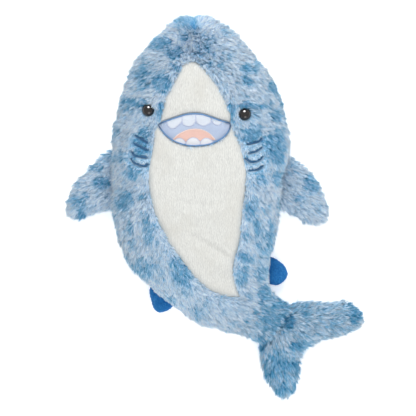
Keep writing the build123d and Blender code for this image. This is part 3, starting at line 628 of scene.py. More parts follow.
class Mat:
    def __init__(self, name, rough=0.8, sheen=0.0, tint=None, coat=0.0,
                 spec=0.3):
        self.m = bpy.data.materials.new(name)
        self.m.use_nodes = True
        self.t = self.m.node_tree
        self.b = self.t.nodes["Principled BSDF"]
        self.b.inputs["Roughness"].default_value = rough
        self.b.inputs["Specular IOR Level"].default_value = spec
        self.b.inputs["Sheen Weight"].default_value = sheen
        self.b.inputs["Sheen Roughness"].default_value = 0.45
        if tint:
            self.b.inputs["Sheen Tint"].default_value = tint
        self.b.inputs["Coat Weight"].default_value = coat
        self.b.inputs["Coat Roughness"].default_value = 0.05

    def node(self, kind, **kw):
        n = self.t.nodes.new(kind)
        for k, v in kw.items():
            setattr(n, k, v)
        return n

    def link(self, a, b):
        self.t.links.new(a, b)

    def attr(self, name):
        n = self.node("ShaderNodeAttribute", attribute_name=name)
        return n.outputs["Fac"]

    def coords(self):
        if not hasattr(self, "_c"):
            self._c = self.node("ShaderNodeTexCoord").outputs["Object"]
        return self._c

    def noise(self, scale, detail=3.0, rough=0.6, stretch=None):
        n = self.node("ShaderNodeTexNoise")
        n.inputs["Scale"].default_value = scale
        n.inputs["Detail"].default_value = detail
        n.inputs["Roughness"].default_value = rough
        src = self.coords()
        if stretch:
            m = self.node("ShaderNodeMapping")
            m.inputs["Scale"].default_value = stretch
            self.link(src, m.inputs["Vector"])
            src = m.outputs["Vector"]
        self.link(src, n.inputs["Vector"])
        return n.outputs["Fac"]

    def ramp(self, fac, stops):
        n = self.node("ShaderNodeValToRGB")
        e = n.color_ramp.elements
        while len(e) < len(stops):
            e.new(0.5)
        for i, (pos, col) in enumerate(stops):
            e[i].position = pos
            e[i].color = col
        self.link(fac, n.inputs["Fac"])
        return n.outputs["Color"]

    def mix(self, fac, a, b, mode="MIX"):
        n = self.node("ShaderNodeMix", data_type="RGBA", blend_type=mode)
        for value, name in ((fac, "Factor"), (a, "A"), (b, "B")):
            socket = next(s for s in n.inputs if s.name == name
                          and (name == "Factor" and s.type == "VALUE"
                               or name != "Factor" and s.type == "RGBA"))
            if hasattr(value, "is_linked") or hasattr(value, "links"):
                self.link(value, socket)
            else:
                socket.default_value = value
        return next(s for s in n.outputs if s.type == "RGBA")

    def math(self, op, a, b=0.0, clamp=False):
        n = self.node("ShaderNodeMath", operation=op, use_clamp=clamp)
        for i, v in enumerate((a, b)):
            if hasattr(v, "links"):
                self.link(v, n.inputs[i])
            else:
                n.inputs[i].default_value = v
        return n.outputs["Value"]

    def span(self, v, a, b, c=0.0, d=1.0):
        n = self.node("ShaderNodeMapRange")
        self.link(v, n.inputs["Value"])
        for name, x in (("From Min", a), ("From Max", b), ("To Min", c),
                        ("To Max", d)):
            n.inputs[name].default_value = x
        return n.outputs["Result"]

    def bump(self, height, strength, distance):
        n = self.node("ShaderNodeBump")
        n.inputs["Strength"].default_value = strength
        n.inputs["Distance"].default_value = distance
        self.link(height, n.inputs["Height"])
        self.link(n.outputs["Normal"], self.b.inputs["Normal"])

    def colour(self, c):
        self.link(c, self.b.inputs["Base Color"])


def fur_material(name, pale, blue, deep, frost):
    """Mottled pile: pale and dyed fibres, roots darkened partly in the fibres' own deeper colour
    and partly with painted shade, frosted tips.
    """
    m = Mat(name, rough=0.8, sheen=0.22, tint=(0.6, 0.82, 1.0, 1), spec=0.06)
    along, dye, rnd = m.attr("along"), m.attr("dye"), m.attr("rnd")
    spots = m.noise(330.0, 2.0)
    dyed = m.math("ADD", dye, m.span(spots, 0.3, 0.7, -0.16, 0.16))
    base = m.mix(m.span(dyed, 0.12, 0.82), m.ramp(along, pale),
                 m.ramp(along, blue))
    base = m.mix(m.span(dyed, 0.85, 1.45), base, m.ramp(along, deep))
    tips = m.math("MULTIPLY", m.span(along, 0.25, 1.0),
                  m.span(rnd, 0.62, 0.92, 0.0, 0.60))
    base = m.mix(tips, base, frost)
    shade = m.span(rnd, 0.0, 0.8, 0.68, 1.25)
    n = m.node("ShaderNodeCombineColor")
    for i in range(3):
        m.link(shade, n.inputs[i])
    m.colour(m.mix(1.0, base, n.outputs["Color"], "MULTIPLY"))
    m.link(m.span(spots, 0.3, 0.7, 0.7, 0.88), m.b.inputs["Roughness"])
    return m.m


# Ramps run root to tip; the darker root stops are partly the fibres' deeper colour under the
# frosting, partly painted shade in the depth of the pile.
FUR = fur_material(
    "mottled_blue_fur",
    [(0.0, lin(138, 188, 224)), (0.45, lin(208, 231, 250)),
     (1.0, lin(236, 245, 255))],
    [(0.0, lin(44, 130, 184)), (0.45, lin(86, 172, 216)),
     (1.0, lin(128, 200, 234))],
    [(0.0, lin(24, 88, 140)), (0.45, lin(54, 130, 182)),
     (1.0, lin(92, 168, 210))],
    lin(241, 243, 254))

# The backing cloth takes the pile's root colours: partly its own dyed colour, partly painted shade
# under the fur.
cloth = Mat("fur_backing_cloth", rough=0.9, sheen=0.2)
c1 = cloth.mix(cloth.span(cloth.attr("dye"), 0.1, 0.9),
               cloth.ramp(cloth.noise(420.0), [(0.3, lin(148, 186, 214)),
                                               (0.7, lin(188, 214, 234))]),
               cloth.ramp(cloth.noise(420.0), [(0.3, lin(60, 124, 172)),
                                               (0.7, lin(96, 158, 202))]))
cloth.colour(c1)
cloth.bump(cloth.noise(900.0), 0.4, 0.0006)
CLOTH = cloth.m


def plush_white(name, a, b, c):
    """Short ribbed plush: fine ribs up and down, finer cross threads, and painted shade greying the
    rim where the fur overlaps the seam.
    """
    m = Mat(name, rough=0.92, sheen=0.35, tint=(1, 1, 1, 1), spec=0.1)
    rib = m.node("ShaderNodeTexWave", wave_type="BANDS",
                 bands_direction="X", wave_profile="SIN")
    rib.inputs["Scale"].default_value = 120.0
    rib.inputs["Distortion"].default_value = 9.0
    rib.inputs["Detail"].default_value = 3.0
    rib.inputs["Detail Scale"].default_value = 1.6
    m.link(m.coords(), rib.inputs["Vector"])
    cross = m.noise(620.0, 2.0, 0.6, (1.0, 0.45, 1.0))
    streak = m.noise(300.0, 3.0, 0.7, (1.0, 0.30, 1.0))
    mott = m.noise(30.0, 5.0, 0.65, (1.0, 0.7, 1.0))
    h = m.math("ADD", m.math("MULTIPLY", rib.outputs["Fac"], 0.28),
               m.math("ADD", m.math("MULTIPLY", cross, 0.7),
                      m.math("MULTIPLY", streak, 0.62)))
    col = m.ramp(m.span(h, 0.55, 1.25), [(0.0, a), (0.5, b), (1.0, c)])
    col = m.mix(m.span(mott, 0.46, 0.66, 0.0, 0.50), col,
                lin(203, 202, 195))
    # Painted shade: grey towards the panel's rim, where the fur overlaps the seam.
    col = m.mix(m.span(m.attr("edge"), 0.0, 1.0, 0.25, 0.0), col,
                lin(186, 192, 196))
    m.colour(col)
    m.bump(h, 0.4, 0.0006)
    return m.m


WHITE = plush_white("white_ribbed_plush", lin(202, 203, 200),
                    lin(217, 218, 214), lin(231, 232, 228))

royal = Mat("royal_blue_plush", rough=0.8, sheen=0.5,
            tint=(0.5, 0.75, 1.0, 1), spec=0.15)
rn = royal.noise(520.0, 4.0, 0.7)
rb = royal.noise(60.0, 2.0)
rc = royal.ramp(rn, [(0.25, lin(14, 78, 140)), (0.5, lin(32, 112, 178)),
                     (0.8, lin(70, 140, 198))])
royal.colour(royal.mix(royal.span(rb, 0.35, 0.7, 0.0, 0.4), rc,
                       lin(18, 88, 150)))
royal.bump(rn, 0.6, 0.0008)
ROYAL = royal.m


def stitched(name, dark, light, scale=520.0, direction="DIAGONAL", rough=0.6,
             strength=0.5, paint_corner_shade=False):
    """Satin-stitch embroidery: close parallel threads with a slight gloss."""
    m = Mat(name, rough=rough, sheen=0.15, spec=0.3)
    w = m.node("ShaderNodeTexWave", wave_type="BANDS",
               bands_direction=direction, wave_profile="SIN")
    w.inputs["Scale"].default_value = scale
    w.inputs["Distortion"].default_value = 1.6
    w.inputs["Detail"].default_value = 1.0
    m.link(m.coords(), w.inputs["Vector"])
    n = m.noise(400.0, 3.0)
    h = m.math("ADD", m.math("MULTIPLY", w.outputs["Fac"], 0.6),
               m.math("MULTIPLY", n, 0.4))
    col = m.ramp(h, [(0.15, dark), (0.75, light)])
    # Painted shade: the thread turns dark navy at the mouth corners, where the outline tucks into
    # the seam.
    if paint_corner_shade:
        col = m.mix(m.span(m.attr("corner"), 0.0, 1.0, 0.0, 0.85), col,
                    lin(26, 46, 84))
    m.colour(col)
    m.bump(h, strength, 0.0004)
    return m.m


LAVENDER = stitched("mouth_lavender_stitch", lin(154, 170, 200),
                    lin(182, 196, 218))
# The upper teeth are partly their own off-white tint, partly greyed with painted shade under the
# overhanging snout; the lower teeth carry the plain white thread.
TOOTH = stitched("teeth_white_stitch", lin(194, 204, 218),
                 lin(218, 224, 233), 480.0, "X")
TOOTH_LOW = stitched("lower_teeth_white_stitch", lin(212, 215, 223),
                     lin(231, 233, 238), 480.0, "X")
TOOTH_EDGE = stitched("teeth_lilac_edge", lin(180, 190, 218),
                      lin(204, 211, 232), 700.0, "X")
PEACH = stitched("tongue_peach_stitch", lin(212, 170, 158),
                 lin(228, 190, 178), 480.0, "Y")
PEACH_EDGE = stitched("tongue_rim_stitch", lin(228, 196, 184),
                      lin(242, 216, 206), 700.0, "X")
OUTLINE = stitched("mouth_outline_cord", lin(66, 114, 170),
                   lin(112, 158, 204), 640.0, "DIAGONAL", paint_corner_shade=True)
# Gill stitches: blue thread, coloured dark navy partly as painted shade of the sunken seams they
# lie in.
GILL = stitched("gill_thread_painted_groove_shade", lin(36, 78, 118), lin(64, 114, 156),
                640.0, "DIAGONAL", 0.8)

eye = Mat("eye_black_plastic", rough=0.08, coat=0.15, spec=0.5)
eye.colour(eye.ramp(eye.noise(300.0, 2.0), [(0.3, lin(16, 13, 13)),
                                            (0.8, lin(36, 31, 30))]))
EYE = eye.m


def paint(obj, material):
    obj.data.materials.clear()
    obj.data.materials.append(material)
    return obj


# -------------------------------------------------------------------- joins
def tail_blend(obj, which):
    if which == "wag":
        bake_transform(obj)
    else:
        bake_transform(obj)
    return obj


# -------------------------------------------------------------- torso cloth
def take(mask, extra=0):
    tris = TRIS[mask]
    used = np.unique(tris)
    back = np.full(len(BV), -1)
    back[used] = np.arange(len(used))
    return BV[used], back[tris], used


cut_row = int(np.argmin(np.abs(row_t[:NT - 5] - TAIL_CUT)))
col_angle = (TRI_COL + 0.5) * 2 * math.pi / NA
front, left = np.sin(col_angle) > 0, np.cos(col_angle) < 0
torso_rows = TRI_ROW < cut_row
SKINS = [
    ("left_side_cloth", torso_rows & front & left, ["left_side_panel",
                                                    "torso_stuffing"]),
    ("right_side_cloth", torso_rows & front & ~left, ["right_side_panel"]),
    ("left_back_cloth", torso_rows & ~front & left, ["back_panel_left"]),
    ("right_back_cloth", torso_rows & ~front & ~left, ["back_panel_right"]),
    ("tail_stem_front_cloth", ~torso_rows & front,
     ["tail_stem_front_cover", "tail_stem_stuffing"]),
    ("tail_stem_back_cloth", ~torso_rows & ~front, ["tail_stem_back_cover"]),
]
for name, mask, nodes in SKINS:
    v, t, used = take(mask)
    vv, tt, qq = thicken(v, t, 1.6)
    o = build(name, vv, tris=tt, quads=qq)
    attribute(o, "dye", np.tile(dye_at(v), 2))
    paint(o, CLOTH)
    tail_blend(o, "wag" if "tail" not in name else "lift")
    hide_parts(*nodes)


# ---------------------------------------------------------------------- fur
def scatter(v, tris, density, seed):
    r = np.random.default_rng(seed)
    a, b, c = v[tris[:, 0]], v[tris[:, 1]], v[tris[:, 2]]
    area = np.linalg.norm(np.cross(b - a, c - a), axis=1) / 2
    want = r.poisson(area * density)
    pick = np.repeat(np.arange(len(tris)), want)
    u, w = r.random(len(pick)), r.random(len(pick))
    flip = u + w > 1
    u, w = np.where(flip, 1 - u, u), np.where(flip, 1 - w, w)
    bary = np.column_stack([1 - u - w, u, w])
    return pick, bary


def interp(values, tris, pick, bary):
    q = values[tris[pick]]
    if q.ndim == 3:
        return (q * bary[:, :, None]).sum(1)
    return (q * bary).sum(1)


def comb(root, nrm, flow, length, lie, dye, seed, spacing=3.3, pull=0.30,
         width=0.27, noise=0.13):
    """Tufted fibres.  Returns the seven points of each and its values."""
    r = np.random.default_rng(seed)
    m = len(root)
    cells = max(4, int(m / max(1.0, spacing ** 2 * 1.35)))
    idx = r.choice(m, cells, replace=False)
    tree = kd(root[idx])
    near = np.array([tree.find(p)[1] for p in root])
    jit = r.normal(size=(cells, 3)) * noise
    stretch = 1 + 0.13 * r.normal(size=cells)
    lie = lie[:, None]

    def aim(n, f, l, j):
        d = unit(n * (1 - l) + f * l + j)
        up = (d * n).sum(1, keepdims=True)
        return unit(d + n * np.maximum(0.12 - up, 0))

    d = aim(nrm, flow, lie, jit[near] + r.normal(size=(m, 3)) * 0.09)
    ln = (length * stretch[near] * r.uniform(0.78, 1.12, m))[:, None]
    tip = root + d * ln
    dc = aim(nrm[idx], flow[idx], lie[idx], jit)
    goal = root[idx] + dc * (length[idx] * stretch)[:, None]
    k = pull * r.uniform(0.6, 1.15, (m, 1))
    tip = tip * (1 - k) + (goal[near] + r.normal(size=(m, 3)) * 0.8) * k
    base = root - nrm * 0.8
    mid = base + (tip - base) * 0.48 + nrm * ln * 0.11
    ax = unit(tip - base)
    side = unit(np.cross(ax, nrm) + r.normal(size=(m, 3)) * 0.3)
    oth = unit(np.cross(ax, side))
    wid = (width * r.uniform(0.75, 1.25, m))[:, None]
    out = np.zeros((m, 7, 3))
    for q in range(3):
        a = q * 2 * math.pi / 3
        s = side * math.cos(a) + oth * math.sin(a)
        out[:, q] = base + s * wid
        out[:, 3 + q] = mid + s * wid * 0.86
    out[:, 6] = tip
    out[..., 2] = np.maximum(out[..., 2], 0.3 + 0.15 * np.arange(7) / 6)
    ring = out - out[:, [0, 0, 0, 3, 3, 3, 6]] * 0
    ring[:, :3] -= base[:, None]
    ring[:, 3:6] -= mid[:, None]
    ring[:, 6] = ax
    soft = unit(nrm[:, None] * 0.75 + unit(ring) * 0.55)
    shade = r.random(m) * 0.82 + r.random(cells)[near] * 0.28
    shade = shade - 0.13 * rearness(root[:, :2]) + 0.20 * np.exp(
        -((root[:, 0] + 20) / 34) ** 2 - ((root[:, 1] - 204) / 26) ** 2)
    shade = np.clip(shade, 0, 1)
    tint = dye + 0.15 * r.normal(size=cells)[near] + 0.25 * r.normal(size=m)
    return out, shade, tint, soft


def fibres(name, pts, rnd, dye, soft, material=None):
    m = len(pts)
    base = np.arange(m)[:, None] * 7
    t = np.vstack([base + np.array([[0, 2, 1]]), base + np.array([[3, 4, 6]]),
                   base + np.array([[4, 5, 6]]), base + np.array([[5, 3, 6]])])
    q = np.vstack([base + np.array([[0, 1, 4, 3]]),
                   base + np.array([[1, 2, 5, 4]]),
                   base + np.array([[2, 0, 3, 5]])])
    o = build(name, pts.reshape(-1, 3), tris=t, quads=q)
    attribute(o, "along", np.tile([0, 0, 0, 0.5, 0.5, 0.5, 1.0], m))
    attribute(o, "rnd", np.repeat(rnd, 7))
    attribute(o, "dye", np.repeat(dye, 7))
    o.data.normals_split_custom_set_from_vertices(
        soft.reshape(-1, 3).astype(np.float32))
    paint(o, material or FUR)
    return o


centre_t = np.linspace(0, 16, 161)
cl = station(centre_t)
cl = (cl[:, :2] + cl[:, 2:4]) / 2
tan_t = unit(np.gradient(cl, axis=0))

tri_mid = BV[TRIS].mean(1)
tri_n = unit(np.cross(BV[TRIS[:, 1]] - BV[TRIS[:, 0]],
                      BV[TRIS[:, 2]] - BV[TRIS[:, 0]]))
dens = np.where(tri_n[:, 2] > -0.35, 1.6, 0.3)
dens = np.where((tri_n[:, 2] > 0.35), 2.55, dens)
sn, be = signed(tri_mid[:, :2], SNOUT_S), signed(tri_mid[:, :2], BELLY_S)
mo = signed(tri_mid[:, :2], MOUTH_S)
under = (np.maximum(np.maximum(sn, be), mo) > 4.0) & (tri_n[:, 2] > 0.2)
dens[under] = 0
dens[TRI_ROW < 2] = 2.0
dens[row_t[TRI_ROW] > 16.05] = 0.5
pick, bary = scatter(BV, TRIS, dens, 101)
root = interp(BV, TRIS, pick, bary)
nrm = unit(interp(BN, TRIS, pick, bary))
rt = interp(BT, TRIS, pick, bary)
sn, be = signed(root[:, :2], SNOUT_S), signed(root[:, :2], BELLY_S)
mo = signed(root[:, :2], MOUTH_S)
panel = np.maximum(np.maximum(sn, be), mo)
keep = ~((panel > 0.4) & (nrm[:, 2] > 0.15))
eye_r = np.full(len(root), 1e9)
for ex, ey in EYES.values():
    eye_r = np.minimum(eye_r, np.where(nrm[:, 2] > 0.2, np.hypot(
        root[:, 0] - ex, root[:, 1] - ey), 1e9))
keep &= eye_r > 7.3
gill = np.full(len(root), 1e9)
for line in ALL_GILLS:
    gill = np.minimum(gill, line_distance(root[:, :2], line))
gill = np.where(nrm[:, 2] > 0.2, gill, 1e9)
keep &= gill > 2.3
root, nrm, rt, panel, eye_r, gill = (x[keep] for x in (
    root, nrm, rt, panel, eye_r, gill))
kt = np.clip((rt * 10).astype(int), 0, 160)
T = tan_t[kt]
u = np.column_stack([-T[:, 1], T[:, 0]])
w = station(np.clip(rt, 0, 16))
cc = (w[:, :2] + w[:, 2:4]) / 2
uu = unit(w[:, 2:4] - w[:, :2])
hw = np.linalg.norm(w[:, 2:4] - w[:, :2], axis=1) / 2
lam = ((root[:, :2] - cc) * uu).sum(1) / hw
g = np.interp(rt, [0, 2, 6, 9, 12, 16], [0.9, 0.85, 0.75, 0.4, 0.2, 0.1])
f2 = T * 0.8 + uu * (np.sign(lam) * np.abs(lam) ** 0.7 * g)[:, None]
flow = np.column_stack([f2, np.zeros(len(root))])
# Fur parts round the eyes and the gill threads.
for ex, ey in EYES.values():
    away = np.column_stack([root[:, 0] - ex, root[:, 1] - ey,
                            np.zeros(len(root))])
    r = np.linalg.norm(away, axis=1)
    flow += unit(away) * (1.5 * np.exp(-((r - 6.0) / 5.0) ** 2))[:, None]
rim_line = np.vstack([SNOUT_S, BELLY_S])
rim_tree = kd(np.column_stack([rim_line, np.zeros(len(rim_line))]))
for i in np.nonzero((np.abs(panel) < 7.0) & (nrm[:, 2] > 0.2))[0]:
    k = rim_tree.find((root[i, 0], root[i, 1], 0.0))[1]
    gap = rim_line[k] - root[i, :2]
    gap /= max(np.linalg.norm(gap), 0.3)
    flow[i, :2] += gap * (-1 if panel[i] > 0 else 1) * 0.75 * math.exp(
        -(panel[i] / 4.5) ** 2)
apex = np.exp(-((root[:, 0] + 23) / 15) ** 2 - ((root[:, 1] - 232) / 13) ** 2)
flow[:, 1] += 1.2 * apex
flow -= nrm * (flow * nrm).sum(1, keepdims=True)
flow = unit(flow)
lie = np.full(len(root), 0.60)
crown = np.exp(-((root[:, 0] + 22) / 40) ** 2
               - ((root[:, 1] - 205) / 32) ** 2)
lie -= 0.22 * crown
lie += 0.22 * np.exp(-(gill / 6.0) ** 2)
lie = np.where(nrm[:, 2] < -0.35, 0.85, lie)
length = np.full(len(root), 9.7)
length *= 1 - 0.26 * np.exp(-(panel / 6.0) ** 2)
length = np.where(eye_r < 20, np.minimum(length, 4.6 + (eye_r - 6) * 0.55),
                  length)
length = np.minimum(length, 1.7 + gill * 0.55)
length = np.where(nrm[:, 2] < -0.35, 6.0, length)
pelvic = np.minimum(line_distance(root[:, :2], [(-79.5, -101.7),
                                                (-50.5, -123.7)]),
                    line_distance(root[:, :2], [(77.5, -64.5),
                                                (76.5, -98.0)]))
length *= 1 - 0.66 * np.exp(-(pelvic / 15.0) ** 2)
dye = dye_at(root)
dye = np.maximum(dye, 0.78 * np.exp(-(gill / 5.5) ** 2))
pts, rnd, tint, soft = comb(root, nrm, flow, length, lie, dye, 202, 3.1,
                            0.25)
in_back = nrm[:, 2] < -0.35
side_left = lam < 0
bands = [("head", rt < 3.4), ("cheek", (rt >= 3.4) & (rt < 5.0)),
         ("gill", (rt >= 5.0) & (rt < 6.6)),
         ("flank", (rt >= 6.6) & (rt < 9.6)),
         ("lower", (rt >= 9.6) & (rt < 12.6)), ("rear", (rt >= 12.6)
                                               & (rt < TAIL_CUT))]
made_fur = []
for band, mask in bands:
    for side, ms in (("left", side_left), ("right", ~side_left)):
        sel = mask & ms & ~in_back
        if sel.sum() < 50:
            continue
        o = fibres(f"fur_{band}_{side}", pts[sel], rnd[sel], tint[sel],
                   soft[sel])
        if band in ("lower", "rear"):
            tail_blend(o, "wag")
        else:
            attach(o, "torso")
        made_fur.append((o.name, int(sel.sum())))
for side, ms in (("left", side_left), ("right", ~side_left)):
    sel = in_back & (rt < TAIL_CUT) & ms
    o = fibres(f"fur_back_{side}", pts[sel], rnd[sel], tint[sel], soft[sel])
    tail_blend(o, "wag")
    made_fur.append((o.name, int(sel.sum())))
sel = rt >= TAIL_CUT
o = fibres("fur_tail_stem", pts[sel], rnd[sel], tint[sel], soft[sel])
tail_blend(o, "lift")
made_fur.append((o.name, int(sel.sum())))


# --------------------------------------------------------------------- fins
def blade(name, outline, root_line, deep, zc, r, soft, step=2.4, inset=0.0,
          lumps=0.5, seed=5):
    """A stuffed fin: two faces that meet in a rounded edge.  root_line is
    the pair of root points; the blade carries on deep millimetres inside."""
    loop = smooth_line(outline, step)
    a, b = np.array(root_line[0], float), np.array(root_line[1], float)
    out = unit(np.mean(loop, 0) - (a + b) / 2)
    loop = np.vstack([loop, b + (a - b) * 0.0 - out * deep,
                      a - out * deep])
    dense = []
    for i in range(len(loop)):
        p, q = loop[i], loop[(i + 1) % len(loop)]
        k = max(1, int(round(np.linalg.norm(q - p) / step)))
        dense += [p + (q - p) * j / k for j in range(k)]
    loop = np.array(dense)
    if inset:
        c = np.roll(loop, -1, 0) - np.roll(loop, 1, 0)
        nrm2 = unit(np.column_stack([c[:, 1], -c[:, 0]]))
        if inside(loop[:1] + nrm2[:1] * 0.5, loop)[0]:
            nrm2 = -nrm2
        away = np.abs((loop - (a + b) / 2) @ out)
        lo = loop - nrm2 * inset
        for _ in range(3):
            lo = (np.roll(lo, 1, 0) + np.roll(lo, -1, 0) + 2 * lo) / 4
        loop = lo
    v2, t = region(loop, step)
    n = len(v2)
    d = np.maximum(signed(v2, loop), 0)
    rim = line_distance(v2, loop, True) < 1e-3
    q = np.clip(d / soft, 0, 1)
    h = r * np.sqrt(1 - (1 - q) ** 2)
    h *= 1 + 0.06 * waves(v2, 34.0, seed)
    h[rim] = 0
    top = np.column_stack([v2, zc + h + lumps * waves(v2, 22.0, seed + 1)
                           * q])
    low = np.column_stack([v2, zc - h])
    index = np.arange(n)
    index2 = np.where(rim, index, index + n)
    v = np.vstack([top, low])
    tt = np.vstack([t, index2[t][:, ::-1]])
    used = np.unique(tt)
    back = np.full(len(v), -1)
    back[used] = np.arange(len(used))
    v, tt = v[used], back[tt]
    v[:, 2] = np.maximum(v[:, 2], 1.0)
    return v, tt, out


def stuffed(name, v, t, out, root, voxel, press, cap, stiff=10.0, fine=1):
    """Fill a fin like a cushion: cloth under pressure, root sewn down, each
    point kept within cap millimetres, one subdivision at the end."""
    sc = bpy.context.scene
    me = bpy.data.meshes.new(name + "_sim")
    me.from_pydata((v * MM).tolist(), [], t.tolist())
    o = bpy.data.objects.new(name + "_sim", me)
    sc.collection.objects.link(o)
    rm = o.modifiers.new("Remesh", "REMESH")
    rm.mode = "VOXEL"
    rm.voxel_size = voxel * MM
    dg = bpy.context.evaluated_depsgraph_get()
    solid = bpy.data.meshes.new_from_object(o.evaluated_get(dg))
    o.modifiers.clear()
    o.data = solid
    n = len(solid.vertices)
    start = np.empty(n * 3)
    solid.vertices.foreach_get("co", start)
    start = start.reshape(-1, 3)
    held = ((start[:, :2] / MM - root) @ out) < 0
    group = o.vertex_groups.new(name="sewn")
    group.add(np.nonzero(held)[0].tolist(), 1.0, "REPLACE")
    cl = o.modifiers.new("Cloth", "CLOTH")
    c = cl.settings
    c.quality = 6
    c.mass = 0.2
    c.tension_stiffness = c.compression_stiffness = stiff
    c.shear_stiffness = stiff / 2
    c.bending_stiffness = 0.04 * stiff
    c.vertex_group_mass = "sewn"
    c.use_pressure = True
    c.uniform_pressure_force = press
    c.effector_weights.gravity = 0
    cl.collision_settings.use_collision = False
    cl.point_cache.frame_start, cl.point_cache.frame_end = 1, 20
    for frame_number in range(1, 21):
        sc.frame_set(frame_number)
    dg = bpy.context.evaluated_depsgraph_get()
    swelled = bpy.data.meshes.new_from_object(o.evaluated_get(dg))
    end = np.empty(n * 3)
    swelled.vertices.foreach_get("co", end)
    move = end.reshape(-1, 3) - start
    if not np.isfinite(move).all():
        move = np.zeros_like(start)
    far = np.linalg.norm(move, axis=1, keepdims=True)
    move *= np.minimum(1.0, cap * MM / np.maximum(far, 1e-9))
    print("stuffed", name, n, "held", int(held.sum()), "free mean mm",
          round(far[~held].mean() / MM, 2), "max", round(far.max() / MM, 2),
          "capped", int((far > cap * MM).sum()))
    o.modifiers.clear()
    solid.vertices.foreach_set("co", (start + move).ravel())
    sub = o.modifiers.new("Subdivision", "SUBSURF")
    sub.levels = fine
    dg = bpy.context.evaluated_depsgraph_get()
    done = bpy.data.meshes.new_from_object(o.evaluated_get(dg))
    done.calc_loop_triangles()
    vv = np.empty(len(done.vertices) * 3)
    done.vertices.foreach_get("co", vv)
    tt = np.empty(len(done.loop_triangles) * 3, int)
    done.loop_triangles.foreach_get("vertices", tt)
    bpy.data.objects.remove(o)
    for m in (me, solid, swelled, done):
        bpy.data.meshes.remove(m)
    sc.frame_set(1)
    return vv.reshape(-1, 3) / MM, tt.reshape(-1, 3)


def fin_fur(name, v, t, seed, density, length, flow_of, lie=0.62,
            pull=0.20, spacing=2.8, skip=None, width=0.28):
    n = vertex_normals(v, t)
    tn = unit(np.cross(v[t[:, 1]] - v[t[:, 0]], v[t[:, 2]] - v[t[:, 0]]))
    dens = np.where(tn[:, 2] < -0.3, 0.4, density)
    pick, bary = scatter(v, t, dens, seed)
    root = interp(v, t, pick, bary)
    nrm = unit(interp(n, t, pick, bary))
    if skip is not None:
        k = ~skip(root)
        root, nrm = root[k], nrm[k]
    flow = flow_of(root)
    flow = flow - nrm * (flow * nrm).sum(1, keepdims=True) * 0.9
    flow = unit(flow)
    ln = np.where(nrm[:, 2] < -0.3, length * 0.5, length)
    l = np.where(nrm[:, 2] < -0.3, 0.8, lie)
    pts, rnd, tint, soft = comb(root, nrm, flow, ln, l, dye_at(root),
                                seed + 1, spacing, pull, width)
    return fibres(name, pts, rnd, tint, soft)


def flat_flow(fx, fy):
    return lambda p: np.tile(unit(np.array([fx, fy, 0.0])), (len(p), 1))


FLIPPERS = {
    "left": (FLIPPER_L, (-0.80, -0.60), (-0.126, 0.032, 0.0123),
             (-0.146, 0.032, 0.0123)),
    "right": (FLIPPER_R, (0.80, -0.60), (0.0845, 0.031, 0.0123),
              (0.1035, 0.028, 0.0123)),
}
for side, (outline, f, s, e) in FLIPPERS.items():
    v, t, out = blade(f"{side}_flipper", outline,
                      (outline[0], outline[-1]), 20.0, 12.0, 8.0, 15.0,
                      inset=3.5, seed=31 if side == "left" else 41)
    v, t = stuffed(f"{side}_flipper", v, t, out,
                   (np.array(outline[0]) + np.array(outline[-1])) / 2,
                   4.0, 40.0, 6.0)
    v[:, 2] = np.clip(v[:, 2], 1.0, 24.0)
    cloth_o = build(f"{side}_flipper_cloth", v, tris=t)
    attribute(cloth_o, "dye", dye_at(v))
    paint(cloth_o, CLOTH)
    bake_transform(cloth_o)
    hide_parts(f"{side}_flipper_front_cover",
                f"{side}_flipper_back_cover", f"{side}_flipper_stuffing")
    sx = s[0] / MM
    skip = (lambda p, sx=sx: p[:, 0] > sx + 4) if side == "left" else (
        lambda p, sx=sx: p[:, 0] < sx - 4)
    o = fin_fur(f"fur_{side}_flipper", v, t, 300 + (side == "left"), 2.3,
                9.2, flat_flow(*f), skip=skip)
    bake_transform(o)
    made_fur.append((o.name, len(o.data.vertices) // 7))

v, t, out = blade("tail_fin", TAIL_FIN, (TAIL_FIN[0], TAIL_FIN[-1]), 14.0,
                  12.0, 8.0, 16.0, inset=3.2, seed=51)
v, t = stuffed("tail_fin", v, t, out,
               (np.array(TAIL_FIN[0]) + np.array(TAIL_FIN[-1])) / 2,
               4.0, 1.2, 6.0)
v[:, 2] = np.clip(v[:, 2], 1.0, 25.0)
# A crease where the fin is stitched to the stem.
q = (v[:, :2] - LIFT) @ LIFT_DIR
v[:, 2] = np.where(v[:, 2] > 12, v[:, 2] - 3.0 * np.exp(
    -((q - 7.0) / 4.5) ** 2), v[:, 2])
cloth_o = build("tail_fin_cloth", v, tris=t)
attribute(cloth_o, "dye", dye_at(v))
paint(cloth_o, CLOTH)
tail_blend(cloth_o, "lift")
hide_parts("tail_fin_front_cover", "tail_fin_back_cover",
            "tail_fin_stuffing")


def fluke_flow(p):
    d = p - np.array([60.0, -126.0, 0.0])
    d[:, 2] = 0
    return unit(d)


upper = v[t].mean(1)
split = (upper[:, 0] - 118.0) * 0.62 + (upper[:, 1] + 168.0) * 0.78
for name, sel in (("fur_upper_fluke", split > 0), ("fur_lower_fluke",
                                                  split <= 0)):
    o = fin_fur(name, v, t[sel], 400 + (name > "fur_m"), 2.3, 10.4,
                fluke_flow, lie=0.66, skip=lambda p: (p[:, :2] - LIFT)
                @ LIFT_DIR < 1.0, spacing=3.1, pull=0.24)
    tail_blend(o, "lift")
    made_fur.append((o.name, len(o.data.vertices) // 7))

